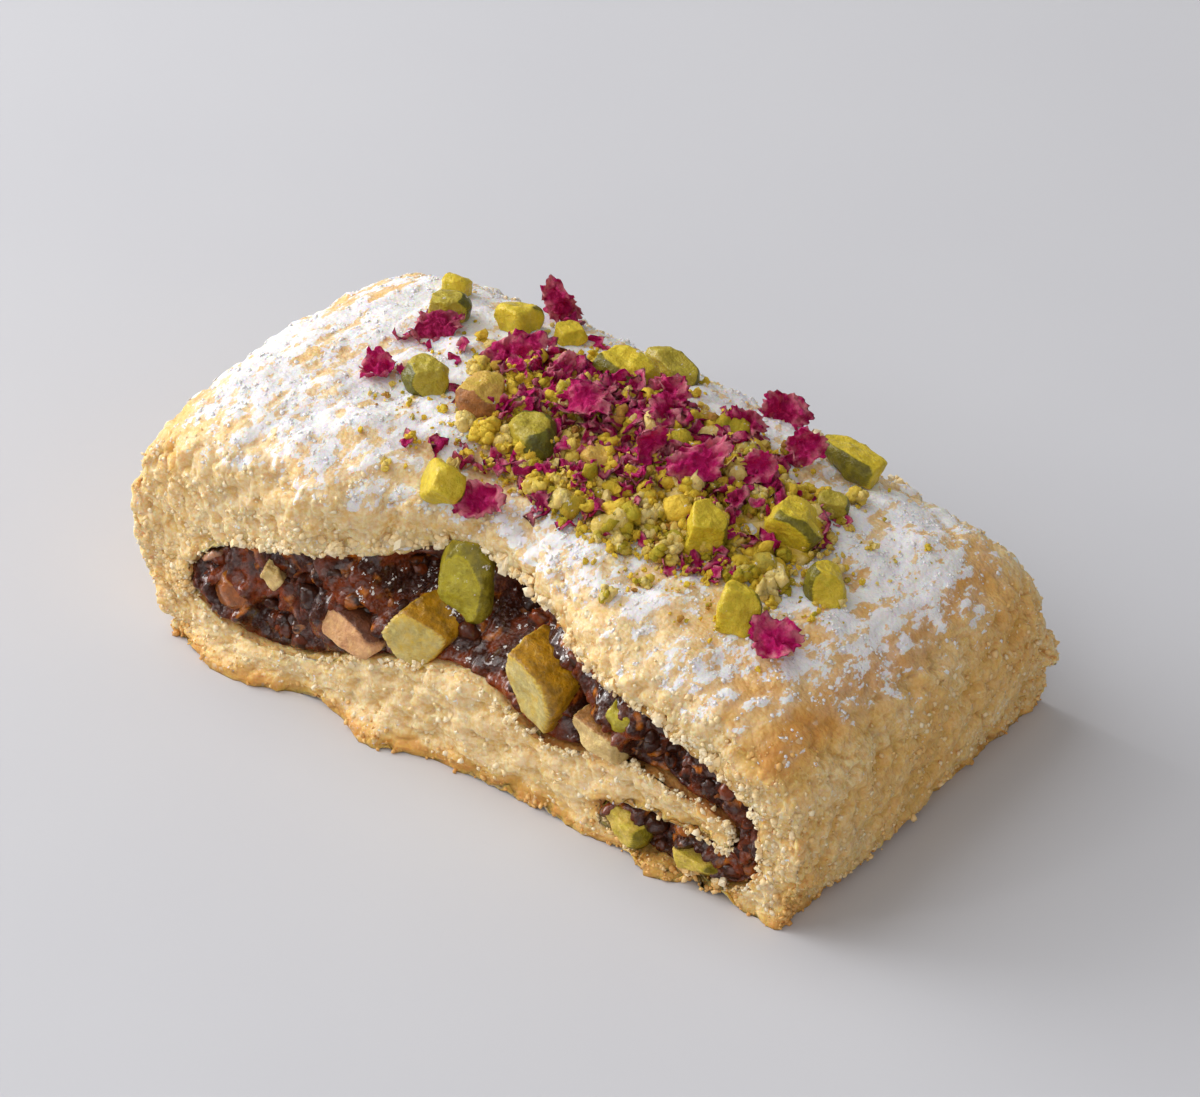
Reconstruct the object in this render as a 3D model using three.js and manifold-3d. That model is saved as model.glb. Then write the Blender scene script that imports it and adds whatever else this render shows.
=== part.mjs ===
// A filled shortbread bar. A sheet of dough is folded round a dark nut paste, and the bar is cut
// across, so the paste and its nuts show on both long sides. Chopped pistachios lie on the top.
// Millimetres, +Z up, origin at the middle of the base. +X runs along the bar to its folded end,
// and the wider, open cut side faces -Y.
import * as THREE from 'three';
import { mergeVertices } from 'three/addons/utils/BufferGeometryUtils.js';
import Module from 'manifold-3d';

const wasm = await Module();
wasm.setup();

const GAP = 0.3; // clear space between one food and the next
const WIDTH = 43; // from cut side to cut side
const FRONT = -WIDTH / 2;

// The bar's outline seen from the cut side, [x, z], from the left of the base over the top.
const OUTLINE = [
  [-35.2, 0], [-37.8, 4.5], [-40.1, 11.5], [-40.4, 17.6], [-38.6, 22.6], [-34.2, 25.9],
  [-25.5, 27.1], [-11, 26.8], [1, 26.0], [13, 24.6], [25, 22.7], [32.5, 21.0],
  [37.2, 18.0], [39.6, 13.3], [40.0, 8.0], [39.6, 2.5], [39.2, 0],
];
const OUTLINE_TOP = 25; // where the outline counts as the bar's top
const OUTLINE_STEPS = 54;
const BASE_STEPS = 20;
const ROWS = 15; // outlines between the two cut sides
const INSET_MIDDLE = 12;

// The paste seen from the cut side, [x, z, half of its thickness], along its middle. It goes to the
// right, turns down inside the fold and comes back under a tongue of dough.
const PASTE = [
  [-33.2, 7.0, 0.6], [-31, 7.9, 3.0], [-26.5, 8.8, 5.2], [-20.6, 10.3, 5.6], [-14, 12.7, 5.0],
  [-8, 14.2, 4.4], [-2, 15.0, 4.1], [5, 14.7, 4.1], [11, 13.6, 4.7], [17, 14.1, 3.5],
  [22, 14.1, 2.9], [27, 13.0, 2.6], [31, 12.0, 2.0], [33.8, 9.8, 1.6], [34.0, 6.6, 1.4],
  [32.3, 4.3, 1.8], [28.5, 3.7, 2.1], [23, 3.6, 2.1], [18.6, 3.7, 1.5], [17.3, 3.7, 0.5],
];
const PASTE_STEPS = 38;
const PASTE_RECESS = 0.7; // how far the paste lies behind the cut dough
const PASTE_LUMP = 0.35;

// The upper dough is drawn back from the cut side in the middle of the bar.
const LIP_BACK = 8;
const LIP_X = -3; // where it is drawn back the furthest
const LIP_LEFT = 17; // how far the drawn-back stretch runs to each side
const LIP_RIGHT = 26;
const LIP_LOW = 8.5; // below this height the dough stays at the cut side
const LIP_HIGH = 18.5;
const LIP_FADE_END = 12; // behind this the bar is straight

// The baked foot spreads past the cut side in three places, [x, half of its length, reach].
const FOOT = [[-27.5, 8.5, 2.4], [-9, 6.5, 2.2], [24, 4.5, 1.4]];
const FOOT_HIGH = 4.5;
const FOOT_DEEP = 6; // how far behind the cut side it starts

// The outer flap ends in a low step on the folded end.
const STEP_DEPTH = 1.2;
const STEP_X = 30;

const COLOUR = {
  dough: 0xe8c88e, paste: 0x4a2a1c, hazelnut: 0xd9b26a, almond: 0xd9ab86, amber: 0xb0672a,
  pistachio: 0x9aa23c, pistachioDark: 0x6f7a2c, crumbs: 0xb8a845,
};

const fract = (v) => v - Math.floor(v);
const hash = (k) => fract(Math.sin(k * 12.9898) * 43758.5453);
const smooth = (v) => {
  const t = Math.min(1, Math.max(0, v));
  return t * t * (3 - 2 * t);
};

function curvePoints(rows, count) {
  const points = rows.map(([x, z, h = 0]) => new THREE.Vector3(x, z, h));
  return new THREE.CatmullRomCurve3(points, false, 'catmullrom', 0.5).getSpacedPoints(count);
}

// ---- solids from grids and cuts ----

function geometryOf(positions, triangles) {
  const geometry = new THREE.BufferGeometry();
  geometry.setAttribute('position', new THREE.Float32BufferAttribute(positions, 3));
  geometry.setIndex(triangles);
  return geometry;
}

function solidOf(geometry) {
  const bare = geometry.clone();
  bare.deleteAttribute('normal');
  bare.deleteAttribute('uv');
  const merged = mergeVertices(bare, 1e-3);
  return new wasm.Manifold(new wasm.Mesh({
    numProp: 3,
    vertProperties: new Float32Array(merged.attributes.position.array),
    triVerts: new Uint32Array(merged.index.array),
  }));
}

// A cut can leave slivers, so the largest piece is kept.
function geometryFrom(solid) {
  const pieces = solid.decompose().sort((a, b) => b.volume() - a.volume());
  const mesh = pieces[0].getMesh();
  return geometryOf(Array.from(mesh.vertProperties), Array.from(mesh.triVerts));
}

// Joins closed loops of [x, y, z] points into a closed body, each end filled by a fan of triangles
// round the middle of its loop.
function loft(loops) {
  const size = loops[0].length;
  const points = loops.flat();
  const triangles = [];
  for (let row = 0; row < loops.length - 1; row += 1) {
    for (let i = 0; i < size; i += 1) {
      const a = row * size + i;
      const b = row * size + ((i + 1) % size);
      triangles.push(a, b, a + size, b, b + size, a + size);
    }
  }
  for (const row of [0, loops.length - 1]) {
    const middle = [0, 1, 2].map((k) => loops[row].reduce((sum, p) => sum + p[k], 0) / size);
    for (let i = 0; i < size; i += 1) {
      const [a, b] = [row * size + i, row * size + ((i + 1) % size)];
      triangles.push(...(row ? [a, b, points.length] : [b, a, points.length]));
    }
    points.push(middle);
  }
  return outward(geometryOf(points.flat(), triangles));
}

function signedVolume(geometry) {
  const place = geometry.attributes.position;
  const index = geometry.index.array;
  const corner = [0, 1, 2].map(() => new THREE.Vector3());
  let volume = 0;
  for (let i = 0; i < index.length; i += 3) {
    corner.forEach((v, k) => v.fromBufferAttribute(place, index[i + k]));
    volume += corner[0].dot(corner[1].cross(corner[2])) / 6;
  }
  return volume;
}

function outward(geometry) {
  if (signedVolume(geometry) < 0) {
    geometry.setIndex(Array.from(geometry.index.array).reverse());
  }
  return geometry;
}

// ---- the bar's form ----

// How high and how long the bar is at a place, as a share of its outline: both cut sides are
// rounded off, and the back corners are the rounder ones, the right one only in its upper half.
const rounding = (t, power) => (1 - Math.min(1, Math.abs(t)) ** power) ** (1 / power);

function heightShare(x, y) {
  const t = (2 * y) / WIDTH;
  if (y < 0) return 0.8 + 0.2 * rounding(t, 3.2);
  const edge = 0.66 - 0.1 * smooth((-x - 8) / 20);
  return edge + (1 - edge) * rounding(t, 2.6);
}

function lengthShare(x, y, z) {
  const t = (2 * y) / WIDTH;
  if (y < 0) return 0.99 + 0.01 * rounding(t, 8);
  const edge = x < 0 ? 0.9 : 0.99 - 0.06 * smooth((z - 6) / 10);
  return edge + (1 - edge) * rounding(t, x < 0 ? 2.5 : 4);
}

function lipBack(x) {
  const side = x < LIP_X ? smooth((x - LIP_X + LIP_LEFT) / LIP_LEFT)
    : 1 - smooth((x - LIP_X) / LIP_RIGHT);
  return LIP_BACK * side;
}

const lipFade = (y) => smooth((LIP_FADE_END - y) / (LIP_FADE_END - FRONT));

function drawnBack(x, y, z) {
  return y + lipBack(x) * smooth((z - LIP_LOW) / (LIP_HIGH - LIP_LOW)) * lipFade(y);
}

// The flap's lower edge is high at both corners of the folded end and low between them.
function stepIn(x, y, z) {
  if (x < STEP_X) return 0;
  const edge = 1.5 + 6 * smooth((y + 2) / 20) + 4.5 * smooth((-y - 14) / 7);
  return STEP_DEPTH * smooth((edge - z) / 1.2);
}

const unevenness = (x, y) => 0.22 * Math.sin(0.31 * x + 1.3) * Math.sin(0.37 * y + 0.5)
  + 0.16 * Math.sin(0.83 * x - 0.41 * y) + 0.12 * Math.sin(0.52 * x + 0.77 * y + 2);

function loafPoint([x, z], y, grow) {
  const up = smooth(z / 12);
  const long = x * lengthShare(x, y, z) * (1 + grow / 40);
  const high = z * heightShare(x, y) + up * (unevenness(x, y) + grow);
  const wide = y * (1 + (2 * grow) / WIDTH) - footOut(x, y, z);
  return [long - stepIn(x, y, z), wide, Math.max(0, high)];
}

function footOut(x, y, z) {
  const reach = FOOT.reduce((sum, [at, half, out]) => sum + out * smooth(1 - Math.abs(x - at) / half), 0);
  return reach * smooth(1 - z / FOOT_HIGH) * smooth((FRONT + FOOT_DEEP - y) / FOOT_DEEP);
}

function outlinePoints() {
  const arc = curvePoints(OUTLINE, OUTLINE_STEPS).map((p) => [p.x, Math.max(0, p.y)]);
  const [right, left] = [arc.at(-1)[0], arc[0][0]];
  const base = [];
  for (let i = 1; i < BASE_STEPS; i += 1) base.push([right + ((left - right) * i) / BASE_STEPS, 0]);
  return [...arc, ...base];
}

// Rows crowd towards the cut sides, where the bar rounds off.
function rowPlace(row) {
  const t = (2 * row) / (ROWS - 1) - 1;
  return (WIDTH / 2) * Math.sign(t) * (1 - (1 - Math.abs(t)) ** 1.6);
}

// A smaller outline within each cut side, so that the foot can spread below it.
const inset = ([x, z]) => [x * 0.9, INSET_MIDDLE + (z - INSET_MIDDLE) * 0.66];

function loafGeometry(grow = 0) {
  const outline = outlinePoints();
  const inner = outline.map(inset);
  const loopAt = (points, row) => points.map((point) => loafPoint(point, rowPlace(row), grow));
  const loops = Array.from({ length: ROWS }, (_, row) => loopAt(outline, row));
  return loft([loopAt(inner, 0), ...loops, loopAt(inner, ROWS - 1)]);
}

// Draws the upper dough back. Only y changes, so what runs along Y keeps its outline.
function drawBack(geometry) {
  const place = geometry.attributes.position;
  for (let i = 0; i < place.count; i += 1) {
    place.setY(i, drawnBack(place.getX(i), place.getY(i), place.getZ(i)));
  }
  return geometry;
}

// The paste's body, or with grow its tunnel in the dough, between two places along Y.
function pasteGeometry({ grow, front, back, cells }) {
  const middle = curvePoints(PASTE, PASTE_STEPS);
  const loops = middle.map((point, i) => {
    const before = middle[Math.max(0, i - 1)];
    const after = middle[Math.min(PASTE_STEPS, i + 1)];
    const run = new THREE.Vector2(after.x - before.x, after.y - before.y).normalize();
    const reach = i === 0 ? -grow : i === PASTE_STEPS ? grow : 0;
    const half = point.z + grow;
    const at = (t, y) => [
      point.x + run.x * reach - run.y * t * half, y, point.y + run.y * reach + run.x * t * half,
    ];
    const loop = [];
    const side = (count, place) => {
      for (let k = 0; k < count; k += 1) loop.push(place(k / count));
    };
    side(cells.front, (t) => at(2 * t - 1, front));
    side(cells.along, (t) => at(1, front + (back - front) * t));
    side(cells.back, (t) => at(1 - 2 * t, back));
    side(cells.along, (t) => at(-1, back + (front - back) * t));
    return loop;
  });
  return loft(loops);
}

function lumpyFace(geometry) {
  const place = geometry.attributes.position;
  for (let i = 0; i < place.count; i += 1) {
    const [x, y, z] = [place.getX(i), place.getY(i), place.getZ(i)];
    const lump = Math.sin(1.1 * x + 0.7) * Math.sin(1.3 * z + 1.9) + Math.sin(0.5 * x - 0.8 * z);
    if (y < FRONT + 2) place.setY(i, y + PASTE_LUMP * (lump + 1));
  }
  return geometry;
}

// ---- nuts ----

// A chopped nut: the meeting of flat cuts round a middle, each at its own hashed tilt and distance,
// with edges rounded by a power mean. roundness 0 is sharp-cut and 1 is an egg.
function nutGeometry({ size, seed, roundness = 0.25, detail = 1 }) {
  const geometry = new THREE.IcosahedronGeometry(1, detail);
  const cuts = [];
  for (let k = 0; k < 9; k += 1) {
    const axis = new THREE.Vector3().setComponent(k % 3, k < 3 ? 1 : -1);
    if (k > 5) axis.set(hash(seed + k) - 0.5, hash(seed + k + 20) - 0.5, hash(seed + k + 40) - 0.5);
    axis.x += 0.5 * (hash(seed + 3 * k + 1) - 0.5);
    axis.y += 0.5 * (hash(seed + 3 * k + 2) - 0.5);
    axis.z += 0.5 * (hash(seed + 3 * k + 3) - 0.5);
    cuts.push({ axis: axis.normalize(), reach: 0.84 + 0.22 * hash(seed + 7 * k) });
  }
  const place = geometry.attributes.position;
  const ray = new THREE.Vector3();
  for (let i = 0; i < place.count; i += 1) {
    ray.fromBufferAttribute(place, i).normalize();
    const sum = cuts.reduce((s, cut) => s + Math.max(0, ray.dot(cut.axis) / cut.reach) ** 9, 0);
    const radius = (1 - roundness) * sum ** (-1 / 9) + roundness;
    place.setXYZ(i, ...ray.multiplyScalar(radius).toArray());
  }
  return geometry.scale(size[0] / 2, size[1] / 2, size[2] / 2);
}

const degrees = THREE.MathUtils.degToRad;

function turned(geometry, [roll, pitch, yaw]) {
  const euler = new THREE.Euler(degrees(roll), degrees(pitch), degrees(yaw), 'ZYX');
  return geometry.applyMatrix4(new THREE.Matrix4().makeRotationFromEuler(euler));
}

function grown(solid, size) {
  const factors = size.map((side) => 1 + (2.4 * GAP) / side);
  const box = solid.boundingBox();
  const middle = [0, 1, 2].map((k) => (box.min[k] + box.max[k]) / 2);
  return solid.translate(middle.map((v) => -v)).scale(factors).translate(middle);
}

// ---- where things lie ----

const LARGE_NUT = 6.5; // from this size a nut is made with more faces

// Nuts that show in the paste: middle, size, turn about X, Y and Z in degrees.
const PASTE_NUTS = [
  { name: 'amber_nut', colour: 'amber', at: [-28.2, -20.4, 7.4], size: [4.8, 4.4, 5.0], turn: [0, 10, 0] },
  { name: 'pale_nut_bit', colour: 'hazelnut', at: [-22.8, -21.0, 12.7], size: [3.0, 2.8, 2.5], turn: [0, 30, 10] },
  { name: 'almond_slab', colour: 'almond', at: [-13.4, -20.2, 10.3], size: [7.2, 5.0, 3.3], turn: [0, 14, 0] },
  { name: 'hazelnut_wedge', colour: 'hazelnut', at: [-5.9, -18.2, 12.2], size: [6.0, 5.8, 6.6], turn: [0, 8, 14] },
  { name: 'open_pistachio', colour: 'pistachio', at: [-3.8, -14.4, 16.2], size: [5.4, 4.2, 8.6], turn: [-22, -6, 8] },
  { name: 'hazelnut_cube', colour: 'hazelnut', at: [8.7, -18.8, 13.1], size: [7.4, 6.8, 7.0], turn: [0, 24, 24] },
  { name: 'pale_nut_piece', colour: 'hazelnut', at: [17.2, -20.4, 12.3], size: [6.4, 4.4, 3.2], turn: [0, 4, 0] },
  { name: 'pistachio_end', colour: 'pistachio', at: [19.2, -19.9, 14.9], size: [3.6, 4.0, 3.4], turn: [0, 20, 0] },
  { name: 'lower_pistachio_left', colour: 'pistachio', at: [19.9, -20.3, 3.2], size: [5.8, 4.6, 3.8], turn: [0, 18, 0] },
  { name: 'lower_pistachio_right', colour: 'pistachio', at: [28.2, -20.3, 2.9], size: [5.8, 4.4, 3.2], turn: [0, 12, 0] },
];

// Chopped pistachios on the top: place, size, turn about the upright and share of the height that
// shows above the dough.
const TOP_NUTS = [
  { at: [-26.9, 12.6], size: [3.2, 2.8, 2.4], yaw: 20, show: 0.8 },
  { at: [-23.6, 7.5], size: [4.6, 3.8, 3.2], yaw: 35, show: 0.8, dark: true },
  { at: [-17.6, 10.8], size: [5.2, 4.4, 3.6], yaw: 10, show: 0.85 },
  { at: [-12.6, 12.6], size: [3.4, 3.0, 2.6], yaw: 60, show: 0.8 },
  { at: [-17.9, -3.4], size: [5.0, 4.4, 4.0], yaw: -30, show: 0.85, dark: true },
  { at: [-11.0, -3.2], size: [5.6, 5.2, 4.6], yaw: 25, show: 0.85 },
  { at: [-3.7, 9.6], size: [7.0, 5.0, 4.0], yaw: 8, show: 0.9 },
  { at: [-2.2, 15.6], size: [6.6, 4.0, 3.4], yaw: -12, show: 0.8, dark: true },
  { at: [-7.2, -13.6], size: [4.4, 4.2, 5.6], yaw: 30, show: 0.7 },
  { at: [-3.8, -4.4], size: [5.8, 5.0, 4.2], yaw: -20, show: 0.85, dark: true },
  { at: [18.5, 16.2], size: [8.0, 3.8, 3.2], yaw: -8, show: 0.85 },
  { at: [16.6, -4.4], size: [4.6, 4.4, 5.8], yaw: 40, show: 0.8 },
  { at: [22.0, 2.3], size: [6.2, 5.4, 4.2], yaw: 15, show: 0.9 },
  { at: [24.8, -10.4], size: [4.6, 4.4, 6.0], yaw: 25, show: 0.75 },
  { at: [28.2, -1.8], size: [4.2, 4.0, 4.6], yaw: 50, show: 0.75 },
  { at: [2.9, -2.8], size: [3.6, 3.4, 3.4], yaw: 0, show: 0.95 },
  { at: [22.2, 8.0], size: [3.6, 3.4, 3.0], yaw: 30, show: 0.8, dark: true },
];

// The heap of small crumbs between the chopped pistachios.
const HEAP = { at: [5.5, 1.0], long: 19.5, wide: 9.8, thick: 2.2, turns: 24, rings: 4, sunk: 1.5 };

// Height of the dough's top at x, y, from the outline's upper run.
const topOutline = curvePoints(OUTLINE, 200).filter((p) => p.y > 17);

function topHeight(x, y) {
  let straight = y;
  for (let i = 0; i < 6; i += 1) straight = y - lipBack(x) * lipFade(straight);
  const along = x / lengthShare(x, straight, OUTLINE_TOP);
  const right = topOutline.findIndex((p) => p.x >= along);
  const [a, b] = [topOutline[right - 1], topOutline[right]];
  const z = a.y + ((b.y - a.y) * (along - a.x)) / (b.x - a.x);
  return z * heightShare(x, straight) + unevenness(x, straight);
}

function heapGeometry() {
  const { at, long, wide, thick, turns, rings, sunk } = HEAP;
  const loops = [];
  for (let ring = -rings; ring <= rings; ring += 1) {
    const share = 1 - Math.abs(ring) / (rings + 0.5);
    const loop = [];
    for (let k = 0; k < turns; k += 1) {
      const a = (2 * Math.PI * k) / turns;
      const ragged = 1 + 0.09 * Math.sin(3 * a + 1) + 0.07 * Math.sin(7 * a) + 0.05 * Math.sin(11 * a + 2);
      const r = share ** 0.8 * ragged;
      const [x, y] = [at[0] + long * r * Math.cos(a), at[1] + wide * r * Math.sin(a)];
      const lump = 0.5 * Math.sin(1.1 * x) * Math.sin(1.3 * y) + 0.3 * Math.sin(2.3 * x - 1.7 * y);
      const rise = ring > 0 ? (thick + lump) * (1 - (1 - Math.abs(ring) / rings) ** 2) ** 0.5 : 0;
      loop.push([x, y, topHeight(x, y) + (ring > 0 ? rise : -sunk)]);
    }
    loops.push(loop);
  }
  return loft(loops);
}

// ---- the bar, piece by piece ----

const group = new THREE.Group();
group.name = 'filled_shortbread';

function addMesh(name, solid, colour, roughness) {
  const material = new THREE.MeshStandardMaterial({ color: COLOUR[colour], roughness, metalness: 0 });
  const mesh = new THREE.Mesh(geometryFrom(solid), material);
  mesh.name = name;
  group.add(mesh);
}

const pasteNuts = PASTE_NUTS.map((nut, i) => {
  const detail = Math.max(...nut.size) > LARGE_NUT ? 2 : 1;
  const geometry = turned(nutGeometry({ ...nut, seed: 11 + 5 * i, detail }), nut.turn);
  const solid = solidOf(geometry).translate(nut.at);
  return { ...nut, solid, socket: grown(solid, nut.size) };
});

const topNuts = TOP_NUTS.map((nut, i) => {
  const [x, y] = nut.at;
  const slope = (topHeight(x, y + 1) - topHeight(x, y - 1)) / 2;
  const fall = (topHeight(x + 1, y) - topHeight(x - 1, y)) / 2;
  const tilt = [THREE.MathUtils.radToDeg(Math.atan(slope)), -THREE.MathUtils.radToDeg(Math.atan(fall)), nut.yaw];
  const geometry = turned(nutGeometry({ ...nut, seed: 101 + 5 * i }), tilt);
  const z = topHeight(x, y) + (nut.show - 0.5) * nut.size[2];
  const solid = solidOf(geometry).translate([x, y, z]);
  const name = `pistachio_${String(i + 1).padStart(2, '0')}`;
  return { ...nut, name, solid, socket: grown(solid, nut.size) };
});

const pasteSockets = wasm.Manifold.union(pasteNuts.map((nut) => nut.socket));
const topSockets = wasm.Manifold.union(topNuts.map((nut) => nut.socket));

const tunnel = solidOf(pasteGeometry({
  grow: GAP, front: -WIDTH, back: WIDTH, cells: { front: 1, along: 1, back: 1 },
}));
const cutLoaf = drawBack(geometryFrom(solidOf(loafGeometry()).subtract(tunnel)));
addMesh('shortbread_dough', solidOf(cutLoaf).subtract(pasteSockets), 'dough', 0.85);

const recessed = pasteGeometry({
  grow: 0, front: FRONT + PASTE_RECESS, back: -FRONT - PASTE_RECESS, cells: { front: 4, along: 2, back: 1 },
});
const paste = solidOf(drawBack(lumpyFace(recessed))).subtract(pasteSockets);
addMesh('nut_paste', paste, 'paste', 0.4);

pasteNuts.forEach((nut, i) => {
  const before = pasteNuts.slice(0, i).map((other) => other.socket);
  const solid = before.length ? nut.solid.subtract(wasm.Manifold.union(before)) : nut.solid;
  addMesh(nut.name, solid, nut.colour, 0.5);
});

const loafBlank = solidOf(drawBack(loafGeometry(GAP)));
topNuts.forEach((nut) => {
  addMesh(nut.name, nut.solid.subtract(loafBlank), nut.dark ? 'pistachioDark' : 'pistachio', 0.6);
});

const heap = solidOf(heapGeometry()).subtract(loafBlank).subtract(topSockets);
addMesh('pistachio_crumbs', heap, 'crumbs', 0.8);

// The origin is the middle of the base of the finished bar's box.
const box = new THREE.Box3().setFromObject(group);
group.position.set(-(box.min.x + box.max.x) / 2, -(box.min.y + box.max.y) / 2, -box.min.z);

export default group;
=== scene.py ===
"""Dresses the filled shortbread bar: baked dough, nut paste, chopped nuts, rose petals and sugar.

Lengths are worked out in millimetres in the bar's own frame, whose zero lies midway between the two
cut sides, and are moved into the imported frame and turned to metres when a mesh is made."""
import math

import bpy
import numpy as np
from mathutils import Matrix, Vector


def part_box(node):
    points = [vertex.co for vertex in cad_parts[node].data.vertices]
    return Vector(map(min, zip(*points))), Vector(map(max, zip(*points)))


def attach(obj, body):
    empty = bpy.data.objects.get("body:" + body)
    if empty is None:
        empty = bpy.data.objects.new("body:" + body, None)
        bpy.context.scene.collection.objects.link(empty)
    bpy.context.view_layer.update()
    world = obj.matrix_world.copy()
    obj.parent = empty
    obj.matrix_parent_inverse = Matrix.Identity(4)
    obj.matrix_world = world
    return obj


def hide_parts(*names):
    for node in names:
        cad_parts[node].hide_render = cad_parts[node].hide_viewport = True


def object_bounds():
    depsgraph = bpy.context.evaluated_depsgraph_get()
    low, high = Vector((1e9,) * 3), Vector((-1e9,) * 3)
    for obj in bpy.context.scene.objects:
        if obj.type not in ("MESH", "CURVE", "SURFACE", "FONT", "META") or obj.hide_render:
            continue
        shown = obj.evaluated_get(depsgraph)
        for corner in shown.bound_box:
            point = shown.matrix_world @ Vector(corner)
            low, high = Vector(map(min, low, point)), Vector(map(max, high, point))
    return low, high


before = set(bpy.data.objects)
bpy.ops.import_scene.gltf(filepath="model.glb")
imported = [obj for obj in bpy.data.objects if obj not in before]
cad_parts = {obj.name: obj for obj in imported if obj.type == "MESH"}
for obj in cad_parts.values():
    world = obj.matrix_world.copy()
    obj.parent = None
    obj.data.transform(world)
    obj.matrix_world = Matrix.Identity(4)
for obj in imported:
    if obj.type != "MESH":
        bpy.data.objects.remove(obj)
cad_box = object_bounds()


# ---- Folded dough ----
# One sheet of pale shortbread dough, folded round the paste and baked. It is cut across, so both long
# sides are crumbly inside, and the top, the ends and the foot are the browned outside of the sheet.

# Millimetres. OUTLINE is the bar seen from the open side, as x and height. PASTE is the middle line of
# the paste there, as x, height and half its thickness. FOOT is where the foot juts: x, half length, reach.
WIDTH = 43.0
FRONT, BACK = -WIDTH / 2, WIDTH / 2
OUTLINE = [
    (-35.2, 0), (-37.8, 4.5), (-40.1, 11.5), (-40.4, 17.6), (-38.6, 22.6), (-34.2, 25.9),
    (-25.5, 27.1), (-11, 26.8), (1, 26.0), (13, 24.6), (25, 22.7), (32.5, 21.0),
    (37.2, 18.0), (39.6, 13.3), (40.0, 8.0), (39.6, 2.5), (39.2, 0),
]
PASTE = [
    (-33.2, 7.0, 0.6), (-31, 7.9, 3.0), (-26.5, 8.8, 5.2), (-20.6, 10.3, 5.6), (-14, 12.7, 5.0),
    (-8, 14.2, 4.4), (-2, 15.0, 4.1), (5, 14.7, 4.1), (11, 13.6, 4.7), (17, 14.1, 3.5),
    (22, 14.1, 2.9), (27, 13.0, 2.6), (31, 12.0, 2.0), (33.8, 9.8, 1.6), (34.0, 6.6, 1.4),
    (32.3, 4.3, 1.8), (28.5, 3.7, 2.1), (23, 3.6, 2.1), (18.6, 3.7, 1.5), (17.3, 3.7, 0.5),
]
LIP_BACK, LIP_X, LIP_LEFT, LIP_RIGHT = 8.0, -3.0, 17.0, 26.0
LIP_LOW, LIP_HIGH, LIP_FADE_END = 8.5, 18.5, 12.0
FOOT = [(-27.5, 8.5, 2.4), (-9, 6.5, 2.2), (24, 4.5, 1.4)]
FOOT_HIGH, FOOT_DEEP = 4.5, 6.0
STEP_DEPTH, STEP_X = 1.2, 30.0
TUNNEL_ROOM, BOX_ROOM = 0.3, 0.02
# Points along the outline and its base, and rings over the front cut, the outside and the back cut.
OUTLINE_POINTS, BASE_POINTS = 420, 100
FRONT_RINGS, SIDE_RINGS, BACK_RINGS = 42, 114, 18

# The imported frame's zero is the middle of the whole box, a little off the middle between the cuts.
SHIFT = np.array([0.0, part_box("shortbread_dough")[1].y * 1000 - BACK, 0.0])


def smooth(value):
    """0 below 0, 1 above 1, and 3t^2 - 2t^3 between."""
    t = np.clip(value, 0, 1)
    return t * t * (3 - 2 * t)


def rounding(t, power):
    """Height of a superellipse of that power at t: 1 in the middle and 0 at t = 1."""
    return (1 - np.minimum(1, np.abs(t)) ** power) ** (1 / power)


def height_share(x, y):
    """How high the bar is at x, y, as a share of its outline: rounded off at both cut sides."""
    t = 2 * y / WIDTH
    edge = 0.66 - 0.1 * smooth((-x - 8) / 20)
    return np.where(y < 0, 0.8 + 0.2 * rounding(t, 3.2), edge + (1 - edge) * rounding(t, 2.6))


def length_share(x, y, z):
    """How long the bar is at y, as a share of its outline: rounder at its back corners."""
    t = 2 * y / WIDTH
    left = 0.9 + 0.1 * rounding(t, 2.5)
    edge = 0.99 - 0.06 * smooth((z - 6) / 10)
    back = np.where(x < 0, left, edge + (1 - edge) * rounding(t, 4))
    return np.where(y < 0, 0.99 + 0.01 * rounding(t, 8), back)


def unevenness(x, y):
    """Three crossed sine waves, up to half a millimetre high."""
    return (0.22 * np.sin(0.31 * x + 1.3) * np.sin(0.37 * y + 0.5)
            + 0.16 * np.sin(0.83 * x - 0.41 * y) + 0.12 * np.sin(0.52 * x + 0.77 * y + 2))


def lip_back(x):
    """How far the upper dough is drawn back from the front at x, an uneven bell over x."""
    left = smooth((x - LIP_X + LIP_LEFT) / LIP_LEFT)
    return LIP_BACK * np.where(x < LIP_X, left, 1 - smooth((x - LIP_X) / LIP_RIGHT))


def lip_fade(y):
    """1 at the front cut, falling to 0 behind the middle."""
    return smooth((LIP_FADE_END - y) / (LIP_FADE_END - FRONT))


def drawn_back(x, y, z):
    """y after the upper dough is drawn back."""
    return y + lip_back(x) * smooth((z - LIP_LOW) / (LIP_HIGH - LIP_LOW)) * lip_fade(y)


def loaf_point(x, y, z):
    """The outline point x, z at y, with the bar's roundings, foot, folded step and drawn-back lip."""
    edge = 1.5 + 6 * smooth((y + 2) / 20) + 4.5 * smooth((-y - 14) / 7)
    step = np.where(x < STEP_X, 0, STEP_DEPTH * smooth((edge - z) / 1.2))
    foot = sum(out * smooth(1 - np.abs(x - at) / half) for at, half, out in FOOT)
    foot = foot * smooth(1 - z / FOOT_HIGH) * smooth((FRONT + FOOT_DEEP - y) / FOOT_DEEP)
    high = np.maximum(0, z * height_share(x, y) + smooth(z / 12) * unevenness(x, y))
    long = x * length_share(x, y, z) - step
    return np.stack([long, drawn_back(long, y - foot, high), high], -1)


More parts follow.
